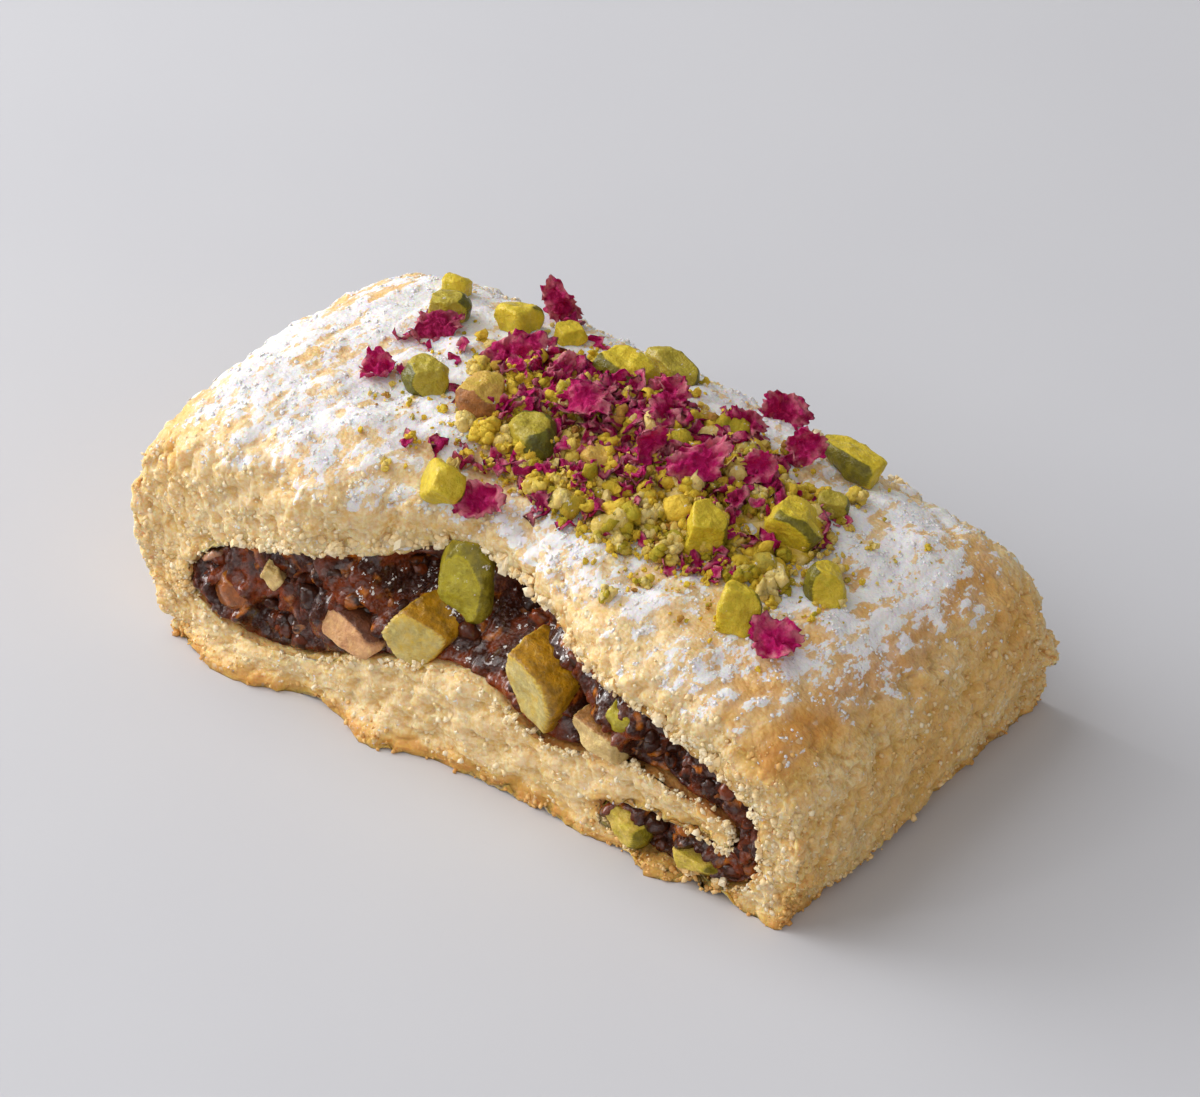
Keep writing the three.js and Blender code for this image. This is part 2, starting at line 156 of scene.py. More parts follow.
def curve_points(rows, count):
    """count + 1 points at equal steps along a Catmull-Rom curve through the rows: between two rows
    it is the cubic whose end slopes are half the chord of each row's neighbours."""
    rows = np.array(rows, float)
    ends = np.vstack([2 * rows[0] - rows[1], rows, 2 * rows[-1] - rows[-2]])
    t = np.linspace(0, len(rows) - 1, 80 * len(rows))
    i = np.minimum(t.astype(int), len(rows) - 2)
    f = (t - i)[:, None]
    a, b, c, d = ends[i], ends[i + 1], ends[i + 2], ends[i + 3]
    fine = ((2 * f**3 - 3 * f**2 + 1) * b + (f**3 - 2 * f**2 + f) * (c - a) / 2
            + (3 * f**2 - 2 * f**3) * c + (f**3 - f**2) * (d - b) / 2)
    run = np.r_[0, np.cumsum(np.linalg.norm(np.diff(fine, axis=0), axis=1))]
    steps = np.linspace(0, run[-1], count + 1)
    return np.stack([np.interp(steps, run, column) for column in fine.T], -1)


def scatter_value(cells, seed):
    """A number from 0 to 1 for each whole-number cell, by mixing its three numbers."""
    n = (cells[..., 0] * 374761393 + cells[..., 1] * 668265263 + cells[..., 2] * 1440662683
         + seed * 1274126177) & 0xFFFFFFFF
    n = ((n ^ (n >> 13)) * 1274126177) & 0xFFFFFFFF
    n = ((n ^ (n >> 15)) * 2246822519) & 0xFFFFFFFF
    return ((n ^ (n >> 16)) & 0xFFFFFF) / 0xFFFFFF


def soft_noise(points, size, seed, layers=1):
    """Noise from -1 to 1: random values on a lattice of that size, blended between its corners by
    3t^2 - 2t^3. Each further layer has half the size and half the height."""
    total, height = 0.0, 1.0
    for layer in range(layers):
        p = points / size * 2**layer + 0.37 * layer
        cell = np.floor(p).astype(np.int64)
        f = smooth(p - cell)
        value = 0.0
        for corner in np.ndindex(2, 2, 2):
            weight = np.prod(np.where(corner, f, 1 - f), axis=-1)
            value = value + weight * scatter_value(cell + np.array(corner), seed + layer)
        total = total + height * (2 * value - 1)
        height = height / 2
    return total


def crumb_relief(points, size, seed):
    """Round lumps, one for each lattice cell of that size, 1 high in their middle and 0 in the creases
    between them: half-balls round random grains, 0.78 of a cell in radius."""
    p = points / size
    cell = np.floor(p).astype(np.int64)
    near = np.full(p.shape[:-1], 9.0)
    for step in np.ndindex(3, 3, 3):
        there = cell + np.array(step) - 1
        grain = there + np.stack([scatter_value(there, seed + k) for k in (1, 2, 3)], -1)
        near = np.minimum(near, np.linalg.norm(p - grain, axis=-1))
    return np.sqrt(np.maximum(0, 1 - (near / 0.78) ** 2))


def mesh_object(name, points, faces, flat=False):
    """An object from points in millimetres in the bar's frame and faces, an array or a list of arrays
    with one row of corners for each face."""
    groups = [np.asarray(g) for g in (faces if isinstance(faces, list) else [faces])]
    corners = np.concatenate([g.ravel() for g in groups])
    totals = np.concatenate([np.full(len(g), g.shape[1]) for g in groups])
    mesh = bpy.data.meshes.new(name)
    mesh.vertices.add(len(points))
    mesh.vertices.foreach_set("co", ((points + SHIFT) / 1000).astype(np.float32).ravel())
    mesh.loops.add(len(corners))
    mesh.loops.foreach_set("vertex_index", corners.astype(np.int32))
    mesh.polygons.add(len(totals))
    mesh.polygons.foreach_set("loop_start", np.r_[0, np.cumsum(totals)[:-1]].astype(np.int32))
    mesh.polygons.foreach_set("use_smooth", np.full(len(totals), not flat))
    mesh.update(calc_edges=True)
    mesh.validate()
    obj = bpy.data.objects.new(name, mesh)
    bpy.context.scene.collection.objects.link(obj)
    return obj


def ring_faces(rings, size):
    """Four-sided faces between each closed ring of size points and the next one."""
    row = np.arange(rings - 1)[:, None] * size
    i = np.arange(size)[None, :]
    j = (i + 1) % size
    return np.stack([row + i, row + size + i, row + size + j, row + j], -1).reshape(-1, 4)


def capped_rings(loops):
    """Points and faces of a tube through the loops, each end closed by one face."""
    size = len(loops[0])
    first = np.arange(size)[None, :]
    last = first[:, ::-1] + (len(loops) - 1) * size
    return np.vstack(loops), [ring_faces(len(loops), size), first, last]


def mesh_arrays(obj):
    """Points in millimetres in the bar's frame and outward normals of an object's mesh."""
    count = len(obj.data.vertices)
    points, normals = np.empty(count * 3, np.float32), np.empty(count * 3, np.float32)
    obj.data.vertices.foreach_get("co", points)
    obj.data.vertex_normals.foreach_get("vector", normals)
    return points.reshape(-1, 3).astype(float) * 1000 - SHIFT, normals.reshape(-1, 3).astype(float)


def move_points(obj, points):
    """Gives an object's mesh new points, in millimetres in the bar's frame."""
    obj.data.vertices.foreach_set("co", ((points + SHIFT) / 1000).astype(np.float32).ravel())
    obj.data.update()


def put_attribute(obj, name, values):
    """Stores one number for each point of the mesh, for its material to read."""
    attribute = obj.data.attributes.new(name, "FLOAT", "POINT")
    attribute.data.foreach_set("value", np.asarray(values, np.float32))


def face_outwards(obj):
    """Turns all faces over if the mesh encloses a negative volume."""
    mesh = obj.data
    mesh.calc_loop_triangles()
    corner = np.empty(len(mesh.loop_triangles) * 3, np.int32)
    mesh.loop_triangles.foreach_get("vertices", corner)
    points = mesh_arrays(obj)[0][corner.reshape(-1, 3)]
    if np.sum(points[:, 0] * np.cross(points[:, 1], points[:, 2])) < 0:
        mesh.flip_normals()


def into_box(points):
    """Keeps points inside the box of the solids, a little clear of its sides."""
    low, high = (np.array(corner) * 1000 - SHIFT for corner in cad_box)
    return np.clip(points, low + [BOX_ROOM, BOX_ROOM, 0], high - BOX_ROOM)


def dough_blank():
    """The uncut bar. Its outline is carried from a slit in the front cut out to the edge, over the
    outside to the back, and in again to a slit in the back cut."""
    arc = curve_points(OUTLINE, OUTLINE_POINTS)
    arc[:, 1] = np.maximum(0, arc[:, 1])
    base_x = np.linspace(arc[-1, 0], arc[0, 0], BASE_POINTS + 2)[1:-1]
    outline = np.vstack([arc, np.stack([base_x, 0 * base_x], -1)])
    middle = curve_points(PASTE[:13], 300)
    slit_x = 0.8 * outline[:, 0]
    slit_z = np.interp(slit_x, middle[:, 0], middle[:, 1])
    slit = np.stack([slit_x, slit_z + 0.15 * np.clip((outline[:, 1] - 12) / 12, -1, 1)], -1)
    front, back = np.linspace(0, 1, FRONT_RINGS + 1)[:-1], np.linspace(1, 0, BACK_RINGS + 1)[1:]
    rings = [(slit + (outline - slit) * share, FRONT) for share in front]
    for t in np.linspace(-1, 1, SIDE_RINGS):
        rings.append((outline, BACK * np.sign(t) * (1 - (1 - abs(t)) ** 1.5)))
    rings += [(slit + (outline - slit) * share, BACK) for share in back]
    loops = [loaf_point(r[:, 0], np.full(len(r), y), r[:, 1]) for r, y in rings]
    return mesh_object("dough", *capped_rings(loops))


def across_paste(stations, grow, share, y):
    """Points of the paste's cross-run at each station: share -1 is its lower edge and 1 its upper."""
    run = np.gradient(stations[:, :2], axis=0)
    run = run / np.linalg.norm(run, axis=1)[:, None]
    half = (stations[:, 2] + grow) * share
    x, z = stations[:, 0] - run[:, 1] * half, stations[:, 1] + run[:, 0] * half
    return np.stack([x, y + 0 * half, z], -1)


def tunnel_cutter():
    """The paste's outline a little enlarged and carried through the bar, with closer rows near the cut
    sides, where the dough's inner edge shows."""
    stations = curve_points(PASTE, 340)
    rows = np.r_[-30, np.arange(-23, -9, 0.8), -4, 4, 12, np.arange(17, 24, 1.5), 30]
    loops = []
    for y in rows:
        upper, lower = (across_paste(stations, TUNNEL_ROOM, share, y) for share in (1, -1))
        loop = np.vstack([upper, lower[::-1]])
        loop[:, 1] = drawn_back(loop[:, 0], loop[:, 1], loop[:, 2]) if y > -30 else y
        loops.append(loop)
    return mesh_object("tunnel", *capped_rings(loops))


def cut_out(obj, cutter):
    """Takes the cutter away from obj and deletes it."""
    modifier = obj.modifiers.new("cut", "BOOLEAN")
    modifier.object, modifier.operation, modifier.solver = cutter, "DIFFERENCE", "MANIFOLD"
    graph = bpy.context.evaluated_depsgraph_get()
    cut = bpy.data.meshes.new_from_object(obj.evaluated_get(graph))
    obj.modifiers.clear()
    whole, obj.data = obj.data, cut
    bpy.data.meshes.remove(whole)
    bpy.data.objects.remove(cutter)
    cut.materials.clear()
    cut.polygons.foreach_set("use_smooth", np.ones(len(cut.polygons), bool))


dough = dough_blank()
tunnel = tunnel_cutter()
face_outwards(dough)
face_outwards(tunnel)
cut_out(dough, tunnel)
points, normals = mesh_arrays(dough)
x, y, z = points.T

# The cut sides are coarse and lumpy, the ends less so, and the skin on top is nearly smooth.
warped = points + 0.9 * np.stack([soft_noise(points, 2.6, s, 2) for s in (5, 6, 7)], -1)
clumps = crumb_relief(warped, 4.4, 9)
lumps = crumb_relief(warped, 2.2, 11)
small = crumb_relief(warped, 1.1, 31)
swell = soft_noise(points, 6.0, 3, 2)
fine = soft_noise(points, 0.8, 8, 2)
cracks = smooth(1 - np.abs(soft_noise(warped, 3.8, 13, 2)) / 0.16)
folds = np.abs(soft_noise(points, 1.5, 17, 2))
cut_side = smooth((np.abs(normals[:, 1]) - 0.4) / 0.35)
end_side = smooth((np.abs(normals[:, 0]) - 0.5) / 0.35)
rough_edge = np.maximum(cut_side, smooth((3.0 - z) / 2.0))
cut_height = 0.5 * clumps + 0.8 * lumps + 0.4 * small + 0.35 * swell + 0.22 * fine - 0.3 * cracks - 1.15
end_height = 0.45 * clumps + 0.7 * lumps + 0.4 * small + 0.4 * swell + 0.2 * fine - 0.2 * cracks - 1.1
skin_height = 0.16 * folds + 0.34 * swell + 0.08 * fine + 0.26 * lumps - 0.3
height = skin_height + end_side * (end_height - skin_height)
height = height + rough_edge * (cut_height - height)
points = points + normals * height[:, None]
points[:, 2] = np.maximum(0, points[:, 2])
move_points(dough, into_box(points))


def browning(x, y, z, cut_side, noise):
    """How brown the dough is baked, 0 to 1: the foot, the left end and the ridge over the folded end
    are the brownest, the skin is golden and the cut sides stay pale."""
    foot = smooth((2.6 + 0.9 * noise - z) / 2.4)
    jutting = smooth((FRONT - 0.4 - y) / 1.6) * smooth((4.5 - z) / 2)
    ridge = np.exp(-(((z - 19.0 - 0.03 * y) / 2.9) ** 2)) * smooth((x - 29) / 7)
    left = smooth((-x - 33) / 6) * smooth((z - 8) / 9) * (1 - 0.5 * cut_side)
    skin = (0.17 + 0.14 * noise + 0.16 * smooth((np.abs(x + 2) - 22) / 12)) * (1 - cut_side)
    corner = smooth((x - 36) / 3) * smooth((-y - 15) / 4) * smooth((9 - z) / 6)
    pale = 0.06 + 0.08 * noise + 0.14 * smooth((-x - 24) / 13) + 0.2 * smooth((x - 36) / 3)
    parts = [0.8 * foot, 0.5 * jutting, (0.66 + 0.14 * noise) * ridge, 0.42 * left, 0.62 * corner,
             skin, pale]
    return np.clip(np.max(parts, axis=0), 0, 1)


def paste_stain(x, y, z, noise):
    """How far syrup has soaked into the cut side, 0 to 1: strongest along the paste and under its
    folded end. The distance is to the nearest station of the paste's run, less its half thickness."""
    run = curve_points(PASTE, 90).astype(np.float32)
    gap = np.hypot(x[:, None] - run[:, 0], z[:, None] - run[:, 1]) - run[:, 2]
    near = smooth(1 - np.min(gap, axis=1) / (1.0 + 1.2 * smooth((x - 2) / 8) + 0.8 * noise))
    return near * (np.abs(y) > 12) * (0.45 + 0.55 * smooth((x - 4) / 6)) * smooth((z - 1) / 2)


# Powdered sugar on the top: middle x, y, half length, half width and how dense it lies.
SUGAR_FIELDS = [
    (-24, 5, 18, 18, 0.88), (-26, -13, 14, 11, 0.6), (-14, -12, 11, 7, 0.5), (-13, 14, 16, 9, 0.7),
    (-35, -2, 7, 15, 0.42), (25, 8, 14, 15, 0.82), (31, -2, 8, 13, 0.6), (8, 17, 18, 7, 0.66),
    (17, -13, 12, 5, 0.5), (6, -11, 9, 5, 0.45), (2, 0, 37, 24, 0.38), (28, -17, 8, 5, 0.5),
]


def sugar_cover(points, normals):
    """How thickly sugar lies, 0 to 1: soft-edged oval fields, broken into clumps drawn out along Y, and
    only where the dough faces up."""
    x, y, z = points.T
    bare = np.ones(len(points))
    for at_x, at_y, long, wide, dense in SUGAR_FIELDS:
        away = np.hypot((x - at_x) / long, (y - at_y) / wide)
        bare = bare * (1 - dense * smooth((1.4 - away) / 1.2))
    drawn = points * [1.0, 0.45, 1.0]
    clumps = (0.2 * soft_noise(drawn, 3.4, 41) + 0.5 * soft_noise(drawn, 1.6, 43)
              + 0.7 * soft_noise(drawn, 0.8, 47))
    up = smooth(normals[:, 2] / 0.45) * smooth((z - 11) / 4)
    return np.clip((1 - bare) * up + (0.25 + 0.6 * (1 - bare)) * clumps * up - 0.06, 0, 1)


normals = (normals + mesh_arrays(dough)[1]) / 2
sugar = sugar_cover(points, normals)
powder_height = 0.15 * smooth((sugar - 0.4) / 0.2)
move_points(dough, into_box(points + normals * powder_height[:, None]))
dough_points, dough_normals = mesh_arrays(dough)
low, middle = np.percentile(height[rough_edge > 0.5], (3, 36))
rough_side = np.maximum(rough_edge, 0.8 * end_side)
put_attribute(dough, "rough_side", 0.25 + 0.75 * rough_side)
# Painted shade: how much the creases of the rough sides are darkened, most where the relief sinks lowest.
put_attribute(dough, "crease_shade", smooth((middle - height) / (middle - low)) * rough_side)
put_attribute(dough, "relief", (height + 0.5) * (1 - 0.35 * rough_edge) + 0.35 * rough_edge + 0.2)
put_attribute(dough, "stain", paste_stain(x, y, z, soft_noise(points, 3.0, 63, 2)))
put_attribute(dough, "brown", browning(x, y, z, cut_side, soft_noise(points, 5.0, 61, 2)))
put_attribute(dough, "sugar", sugar)


def put_values(node, values):
    """Puts each value on the node's named or numbered input, or wires it there if it is another node's
    output."""
    for name, value in values.items():
        if isinstance(value, bpy.types.NodeSocket):
            node.id_data.links.new(value, node.inputs[name])
        else:
            node.inputs[name].default_value = value


def add_node(tree, kind, values=None, **settings):
    """A shader node with its settings and values."""
    node = tree.nodes.new("ShaderNode" + kind)
    for name, value in settings.items():
        setattr(node, name, value)
    put_values(node, values or {})
    return node


# The helpers below put their node in the tree of the first output that they are given.

def maths(operation, a, b):
    """The result of one Math node. Either value may be a number."""
    tree = (a if isinstance(a, bpy.types.NodeSocket) else b).id_data
    return add_node(tree, "Math", {0: a, 1: b}, operation=operation).outputs[0]


def plus(a, b):
    return maths("ADD", a, b)


def minus(a, b):
    return maths("SUBTRACT", a, b)


def times(a, b):
    return maths("MULTIPLY", a, b)


def spread(value, low, high, to_low=0.0, to_high=1.0):
    """value carried from low..high to to_low..to_high, and held at both ends."""
    values = {"Value": value, 1: low, 2: high, 3: to_low, 4: to_high}
    return add_node(value.id_data, "MapRange", values).outputs[0]


def blend(share, first, second):
    """first where share is 0 and second where it is 1, each a colour or another node's output."""
    first, second = ((*c, 1) if isinstance(c, tuple) else c for c in (first, second))
    return add_node(share.id_data, "Mix", {0: share, 6: first, 7: second}, data_type="RGBA").outputs[2]


def layered(value, colour, *layers):
    """colour, covered by each layer's own colour as value rises from the layer's low to its high."""
    for low, high, over in layers:
        colour = blend(spread(value, low, high), colour, over)
    return colour


def cloud(place, size, detail=2.0, roughness=0.5):
    """Noise of that size in millimetres, about 0.5 on average."""
    values = {"Vector": place, "Scale": 1000 / size, "Detail": detail, "Roughness": roughness}
    return add_node(place.id_data, "TexNoise", values).outputs[0]


def grains(place, size):
    """Distance to the nearest grain and the grain's own random colour."""
    return add_node(place.id_data, "TexVoronoi", {"Vector": place, "Scale": 1000 / size}).outputs


def relief(height, depth):
    """A normal from a height of 0 to 1 that stands for depth in millimetres."""
    values = {"Height": height, "Strength": 1.0, "Distance": depth / 1000}
    return add_node(height.id_data, "Bump", values).outputs[0]


def own_place(tree):
    return add_node(tree, "TexCoord").outputs["Object"]


def stored(tree, name):
    """The number stored under that name on the mesh."""
    return add_node(tree, "Attribute", attribute_name=name).outputs["Fac"]


def facing_up(tree):
    """1 where the surface faces up, 0 where it is upright and -1 where it faces down."""
    normal = add_node(tree, "NewGeometry").outputs["Normal"]
    return add_node(tree, "SeparateXYZ", {0: normal}).outputs[2]


def new_material(name, values, glow=None):
    """An empty material with one Principled shader, and its tree. glow is the weight, the depth in
    metres and the share of red, green and blue of the light that passes under its surface."""
    material = bpy.data.materials.new(name)
    material.use_nodes = True
    tree = material.node_tree
    tree.nodes.clear()
    shader = add_node(tree, "BsdfPrincipled", values)
    if glow:
        put_values(shader, dict(zip(("Subsurface Weight", "Subsurface Scale", "Subsurface Radius"), glow)))
    add_node(tree, "OutputMaterial", {"Surface": shader.outputs[0]})
    return material, tree, shader


def powder_group():
    """Node group: a mask of powdered sugar, from how thick it lies and the surface's relief. Cover is
    the share of the surface that is hidden, broken up by two sizes of noise drawn out along Y."""
    group = bpy.data.node_groups.new("powdered_sugar_mask", "ShaderNodeTree")
    for name in ("Cover", "Relief"):
        group.interface.new_socket(name, in_out="INPUT", socket_type="NodeSocketFloat")
    group.interface.new_socket("Mask", in_out="OUTPUT", socket_type="NodeSocketFloat")
    given = group.nodes.new("NodeGroupInput").outputs
    drawn = add_node(group, "Mapping", {"Vector": own_place(group), "Scale": (1.0, 0.6, 1.0)}).outputs[0]
    broken = plus(times(cloud(drawn, 0.8, 3.0, 0.6), 1.4), times(cloud(drawn, 0.33), 0.6))
    raised = {0: given["Relief"], 1: 0.12, 2: -0.06}
    raised = add_node(group, "Math", raised, operation="MULTIPLY_ADD").outputs[0]
    value = plus(times(broken, 0.5), raised)
    limit = spread(given["Cover"], 0.0, 1.0, 0.70, 0.34)
    put_values(group.nodes.new("NodeGroupOutput"), {"Mask": spread(minus(value, limit), -0.015, 0.035)})
    return group


powder_mask = powder_group()


def powder(cover, raised=0.5):
    """The powdered-sugar group placed in the material that cover belongs to."""
    node = add_node(cover.id_data, "Group", node_tree=powder_mask)
    put_values(node, {"Cover": cover, "Relief": raised})
    return node.outputs[0]


DOUGH_CREAM = (0.84, 0.61, 0.30)
DOUGH_GOLD = (0.83, 0.51, 0.17)
DOUGH_AMBER = (0.69, 0.33, 0.075)
DOUGH_BROWN = (0.30, 0.115, 0.03)
# Painted shade: the darker yellow gold put into the creases and between the clumps of the cut sides.
DOUGH_CREASE_SHADE = (0.76, 0.46, 0.10)
DOUGH_PALE = (0.93, 0.80, 0.54)
SUGAR_WHITE = (0.86, 0.835, 0.835)


def dough_material():
    """Baked shortbread: cream to brown by how it is baked, with painted shade that makes its creases, the
    lines between its clumps and its low relief darker and yellower, and painted light that makes its raised
    parts paler; darker where syrup has soaked in, grainy, with small glossy crystals, and white where sugar
    lies."""
    material, tree, shader = new_material(
        "baked_dough", {"Specular IOR Level": 0.4}, (0.75, 0.0012, (1.0, 0.65, 0.32)))
    place, cover = own_place(tree), stored(tree, "sugar")
    raised, soaked, cut = (stored(tree, name) for name in ("relief", "stain", "rough_side"))
    tone = plus(stored(tree, "brown"), spread(cloud(place, 4.0), 0.3, 0.7, -0.09, 0.09))
    tone = plus(tone, spread(cloud(place, 0.9), 0.3, 0.7, -0.03, 0.03))
    # Painted shade and light: low relief is made more golden and high relief paler.
    tone = plus(tone, spread(raised, 0.0, 1.0, 0.1, -0.06))
    tone = plus(tone, times(soaked, 0.48))
    colour = layered(tone, DOUGH_CREAM, (0.0, 0.36, DOUGH_GOLD), (0.36, 0.72, DOUGH_AMBER),
                     (0.72, 1.1, DOUGH_BROWN))
    # Painted shade in the creases of the rough sides.
    colour = blend(times(stored(tree, "crease_shade"), 0.7), colour, DOUGH_CREASE_SHADE)
    shift = {"Vector": place, "Scale": 1000 / 1.5, "Detail": 1.0}
    shift = add_node(tree, "TexNoise", shift).outputs["Color"]
    bent = add_node(tree, "VectorMath", {0: shift, 1: [0.0007] * 3}, operation="MULTIPLY").outputs[0]
    bent = add_node(tree, "VectorMath", {0: place, 1: bent}, operation="ADD").outputs[0]
    # Painted shade along the lines between clumps on the rough sides.
    clump = grains(bent, 1.15)[0]
    colour = blend(times(spread(clump, 0.4, 0.75, 0.0, 0.5), cut), colour, DOUGH_CREASE_SHADE)
    crumbly = spread(cloud(place, 0.42, 3.0, 0.6), 0.42, 0.62, 0.0, 0.5)
    colour = blend(times(crumbly, spread(tone, 0.5, 0.15)), colour, DOUGH_PALE)
    syrup = times(spread(soaked, 0.8, 1.0, 0.0, 0.8), spread(cloud(place, 1.4, 3.0), 0.25, 0.5))
    colour = blend(syrup, colour, (0.26, 0.075, 0.018))
    speck = spread(cloud(place, 0.55), 0.66, 0.69)
    colour = blend(times(speck, soaked), colour, (0.10, 0.03, 0.012))
    distance, cell = grains(place, 0.45)[:2]
    glint = spread(cell, 0.88, 0.9)
    colour = blend(times(glint, 0.3), colour, (0.95, 0.86, 0.68))
    veil = times(spread(cover, 0.1, 0.9, 0.0, 0.7), cloud(place, 0.5, 3.0))
    colour = blend(veil, colour, SUGAR_WHITE)
    mask = powder(cover, raised)
    rough = spread(times(glint, minus(1.0, mask)), 0.0, 1.0, 0.5, 0.15)
    height = plus(times(minus(1.0, distance), 0.55), cloud(place, 0.9, 4.0, 0.55))
    height = plus(height, times(minus(1.0, clump), cut))
    fluff = times(mask, times(cloud(place, 0.4), 0.5))
    height = plus(times(height, spread(mask, 0.0, 1.0, 1.0, 0.6)), fluff)
    put_values(shader, {
        "Base Color": blend(mask, colour, SUGAR_WHITE),
        "Roughness": plus(rough, times(mask, 0.4)),
        "Normal": relief(height, 0.21),
    })
    return material


dough.data.materials.append(dough_material())
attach(dough, "root")
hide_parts("shortbread_dough")


# ---- Loose crumbs of the dough ----
# Crumbs and coarse sugar grains that the cut has pulled loose: they cling to the cut sides, hang along
# the edge over the paste and stick out of the baked foot.

def ball(rings, turns):
    """Directions on a ball, and its three-sided faces: rings of turns points between two poles."""
    up = math.pi * np.arange(1, rings + 1)[:, None] / (rings + 1)
    around = 2 * math.pi * (np.arange(turns)[None, :] + 0.5 * (np.arange(rings)[:, None] % 2)) / turns
    grid = np.stack([np.sin(up) * np.cos(around), np.sin(up) * np.sin(around), np.cos(up) + 0 * around], -1)
    points = np.vstack([[[0, 0, 1]], grid.reshape(-1, 3), [[0, 0, -1]]])
    i = np.arange(turns)
    j = (i + 1) % turns
    last = 1 + (rings - 1) * turns
    faces = [np.stack([0 * i, 1 + i, 1 + j], -1), np.stack([last + i, 0 * i + last + turns, last + j], -1)]
    for ring in range(rings - 1):
        low, high = 1 + ring * turns, 1 + (ring + 1) * turns
        faces += [np.stack([low + i, high + i, low + j], -1), np.stack([low + j, high + i, high + j], -1)]
    return points, np.vstack(faces)


def random_turns(rng, count):
    """Random rotation matrices, from unit quaternions."""
    q = rng.normal(size=(count, 4))
    w, i, j, k = (q / np.linalg.norm(q, axis=1)[:, None]).T
    rows = [1 - 2 * (j * j + k * k), 2 * (i * j - k * w), 2 * (i * k + j * w),
            2 * (i * j + k * w), 1 - 2 * (i * i + k * k), 2 * (j * k - i * w),
            2 * (i * k - j * w), 2 * (j * k + i * w), 1 - 2 * (i * i + j * j)]
    return np.stack(rows, -1).reshape(-1, 3, 3)


def chopped_reach(rng, directions, count):
    """How far each of many balls reaches in each direction once six flat cuts are made in it at random,
    at 0.4 to 0.85 of its radius: the power mean of the ball and the cuts."""
    cuts = rng.normal(size=(count, 6, 3))
    cuts = cuts / np.linalg.norm(cuts, axis=2)[:, :, None]
    facing = np.maximum(0, np.einsum("vj,nkj->nvk", directions, cuts))
    facing = facing / rng.uniform(0.4, 0.85, (count, 1, 6))
    return (1 + np.sum(facing**40, -1, keepdims=True)) ** (-1 / 40)


def joined_lumps(name, rng, places, sizes, uneven, shape=(2, 5), flat=False, squat=None, cut=False):
    """One object of many small lumps: each is a ball of shape rings and turns, chopped if cut is set,
    whose points are pushed in and out at random by the share uneven, stretched along three axes, turned
    at random and put in its place. sizes are their diameters, and squat the directions that they are
    flattened along."""
    directions, faces = ball(*shape)
    count, corners = len(places), len(directions)
    radius = 1 + uneven * rng.uniform(-1, 1, (count, corners, 1))
    if cut:
        radius = radius * 1.3 * chopped_reach(rng, directions, count)
    stretch = rng.uniform(0.75, 1.25, (count, 1, 3))
    lumps = directions[None] * radius * stretch * np.asarray(sizes)[:, None, None] / 2
    lumps = np.einsum("nij,nvj->nvi", random_turns(rng, count), lumps)
    if squat is not None:
        axis = squat[:, None, :]
        lumps = lumps - 0.45 * axis * np.sum(lumps * axis, -1, keepdims=True)
    points = (lumps + np.asarray(places)[:, None, :]).reshape(-1, 3)
    offsets = np.arange(count)[:, None, None] * corners
    obj = mesh_object(name, into_box(points), (faces[None] + offsets).reshape(-1, 3), flat)
    put_attribute(obj, "shade", np.repeat(rng.uniform(0, 1, count), corners))
    return obj


def pick(rng, weight, count):
    """Numbers of points drawn at random, each as likely as its weight, none twice."""
    share = weight / weight.sum()
    return rng.choice(len(weight), count, replace=False, p=share)


def clustered(rng, places, sizes, each):
    """Places and sizes of the lumps that make up ragged clusters, each lumps to a cluster."""
    places, sizes = np.repeat(places, each, axis=0), np.repeat(sizes, each)
    away = rng.normal(size=places.shape)
    away = away / np.linalg.norm(away, axis=1)[:, None]
    places = places + away * (sizes * rng.uniform(0.12, 0.4, len(sizes)))[:, None]
    return places, sizes * rng.uniform(0.3, 0.65, len(sizes))


def cling(name, seed, weight, count, low, high):
    """Joined dough crumbs on points of the dough drawn by their weight, sunk in by up to
    0.42 of their size."""
    rng = np.random.default_rng(seed)
    chosen = pick(rng, weight, count)
    size = low + (high - low) * rng.random(count) ** 2.4
    places = dough_points[chosen] + dough_normals[chosen] * (rng.uniform(-0.42, 0.0, count) * size)[:, None]
    places = places + rng.normal(0, 0.1, places.shape)
    places[:, 2] = np.maximum(places[:, 2], 0.4 * size)
    dough_lumps(name, rng, places, size, 0.9 * np.abs(dough_normals[chosen, 1]))


def dough_lumps(name, rng, places, size, cut_side, flat=False):
    """Joined crumbs of dough, each as brown as the dough where it lies."""
    obj = joined_lumps(name, rng, places, size, uneven=0.42, flat=flat)
    corners = len(obj.data.vertices) // len(places)
    baked = browning(*places.T, cut_side, rng.uniform(-1, 1, len(places)))
    put_attribute(obj, "brown", np.repeat(baked, corners))
    obj.data.materials.append(dough_crumb)
    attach(obj, "root")


def crumb_material():
    """The dough's own crumbs: paler and darker from crumb to crumb, with a grainy, slightly wet gloss."""
    material, tree, shader = new_material(
        "dough_crumb", {"Specular IOR Level": 0.5}, (0.2, 0.0003, (1.0, 0.8, 0.6)))
    place, shade = own_place(tree), stored(tree, "shade")
    tone = plus(stored(tree, "brown"), spread(shade, 0.0, 1.0, -0.12, 0.08))
    tone = plus(tone, spread(cloud(place, 4.0), 0.3, 0.7, -0.09, 0.09))
    colour = layered(tone, (0.93, 0.72, 0.40), (0.0, 0.36, DOUGH_GOLD), (0.4, 0.9, DOUGH_AMBER))
    white = times(spread(shade, 0.5, 0.7, 0.0, 0.7), spread(tone, 0.5, 0.2))
    put_values(shader, {
        "Base Color": blend(white, colour, (0.95, 0.86, 0.66)),
        "Roughness": spread(shade, 0.85, 0.88, 0.45, 0.15),
        "Normal": relief(cloud(place, 0.25), 0.08),
    })
    return material


ANYWHERE = 1e-9  # the least weight of a point, so that each can be drawn

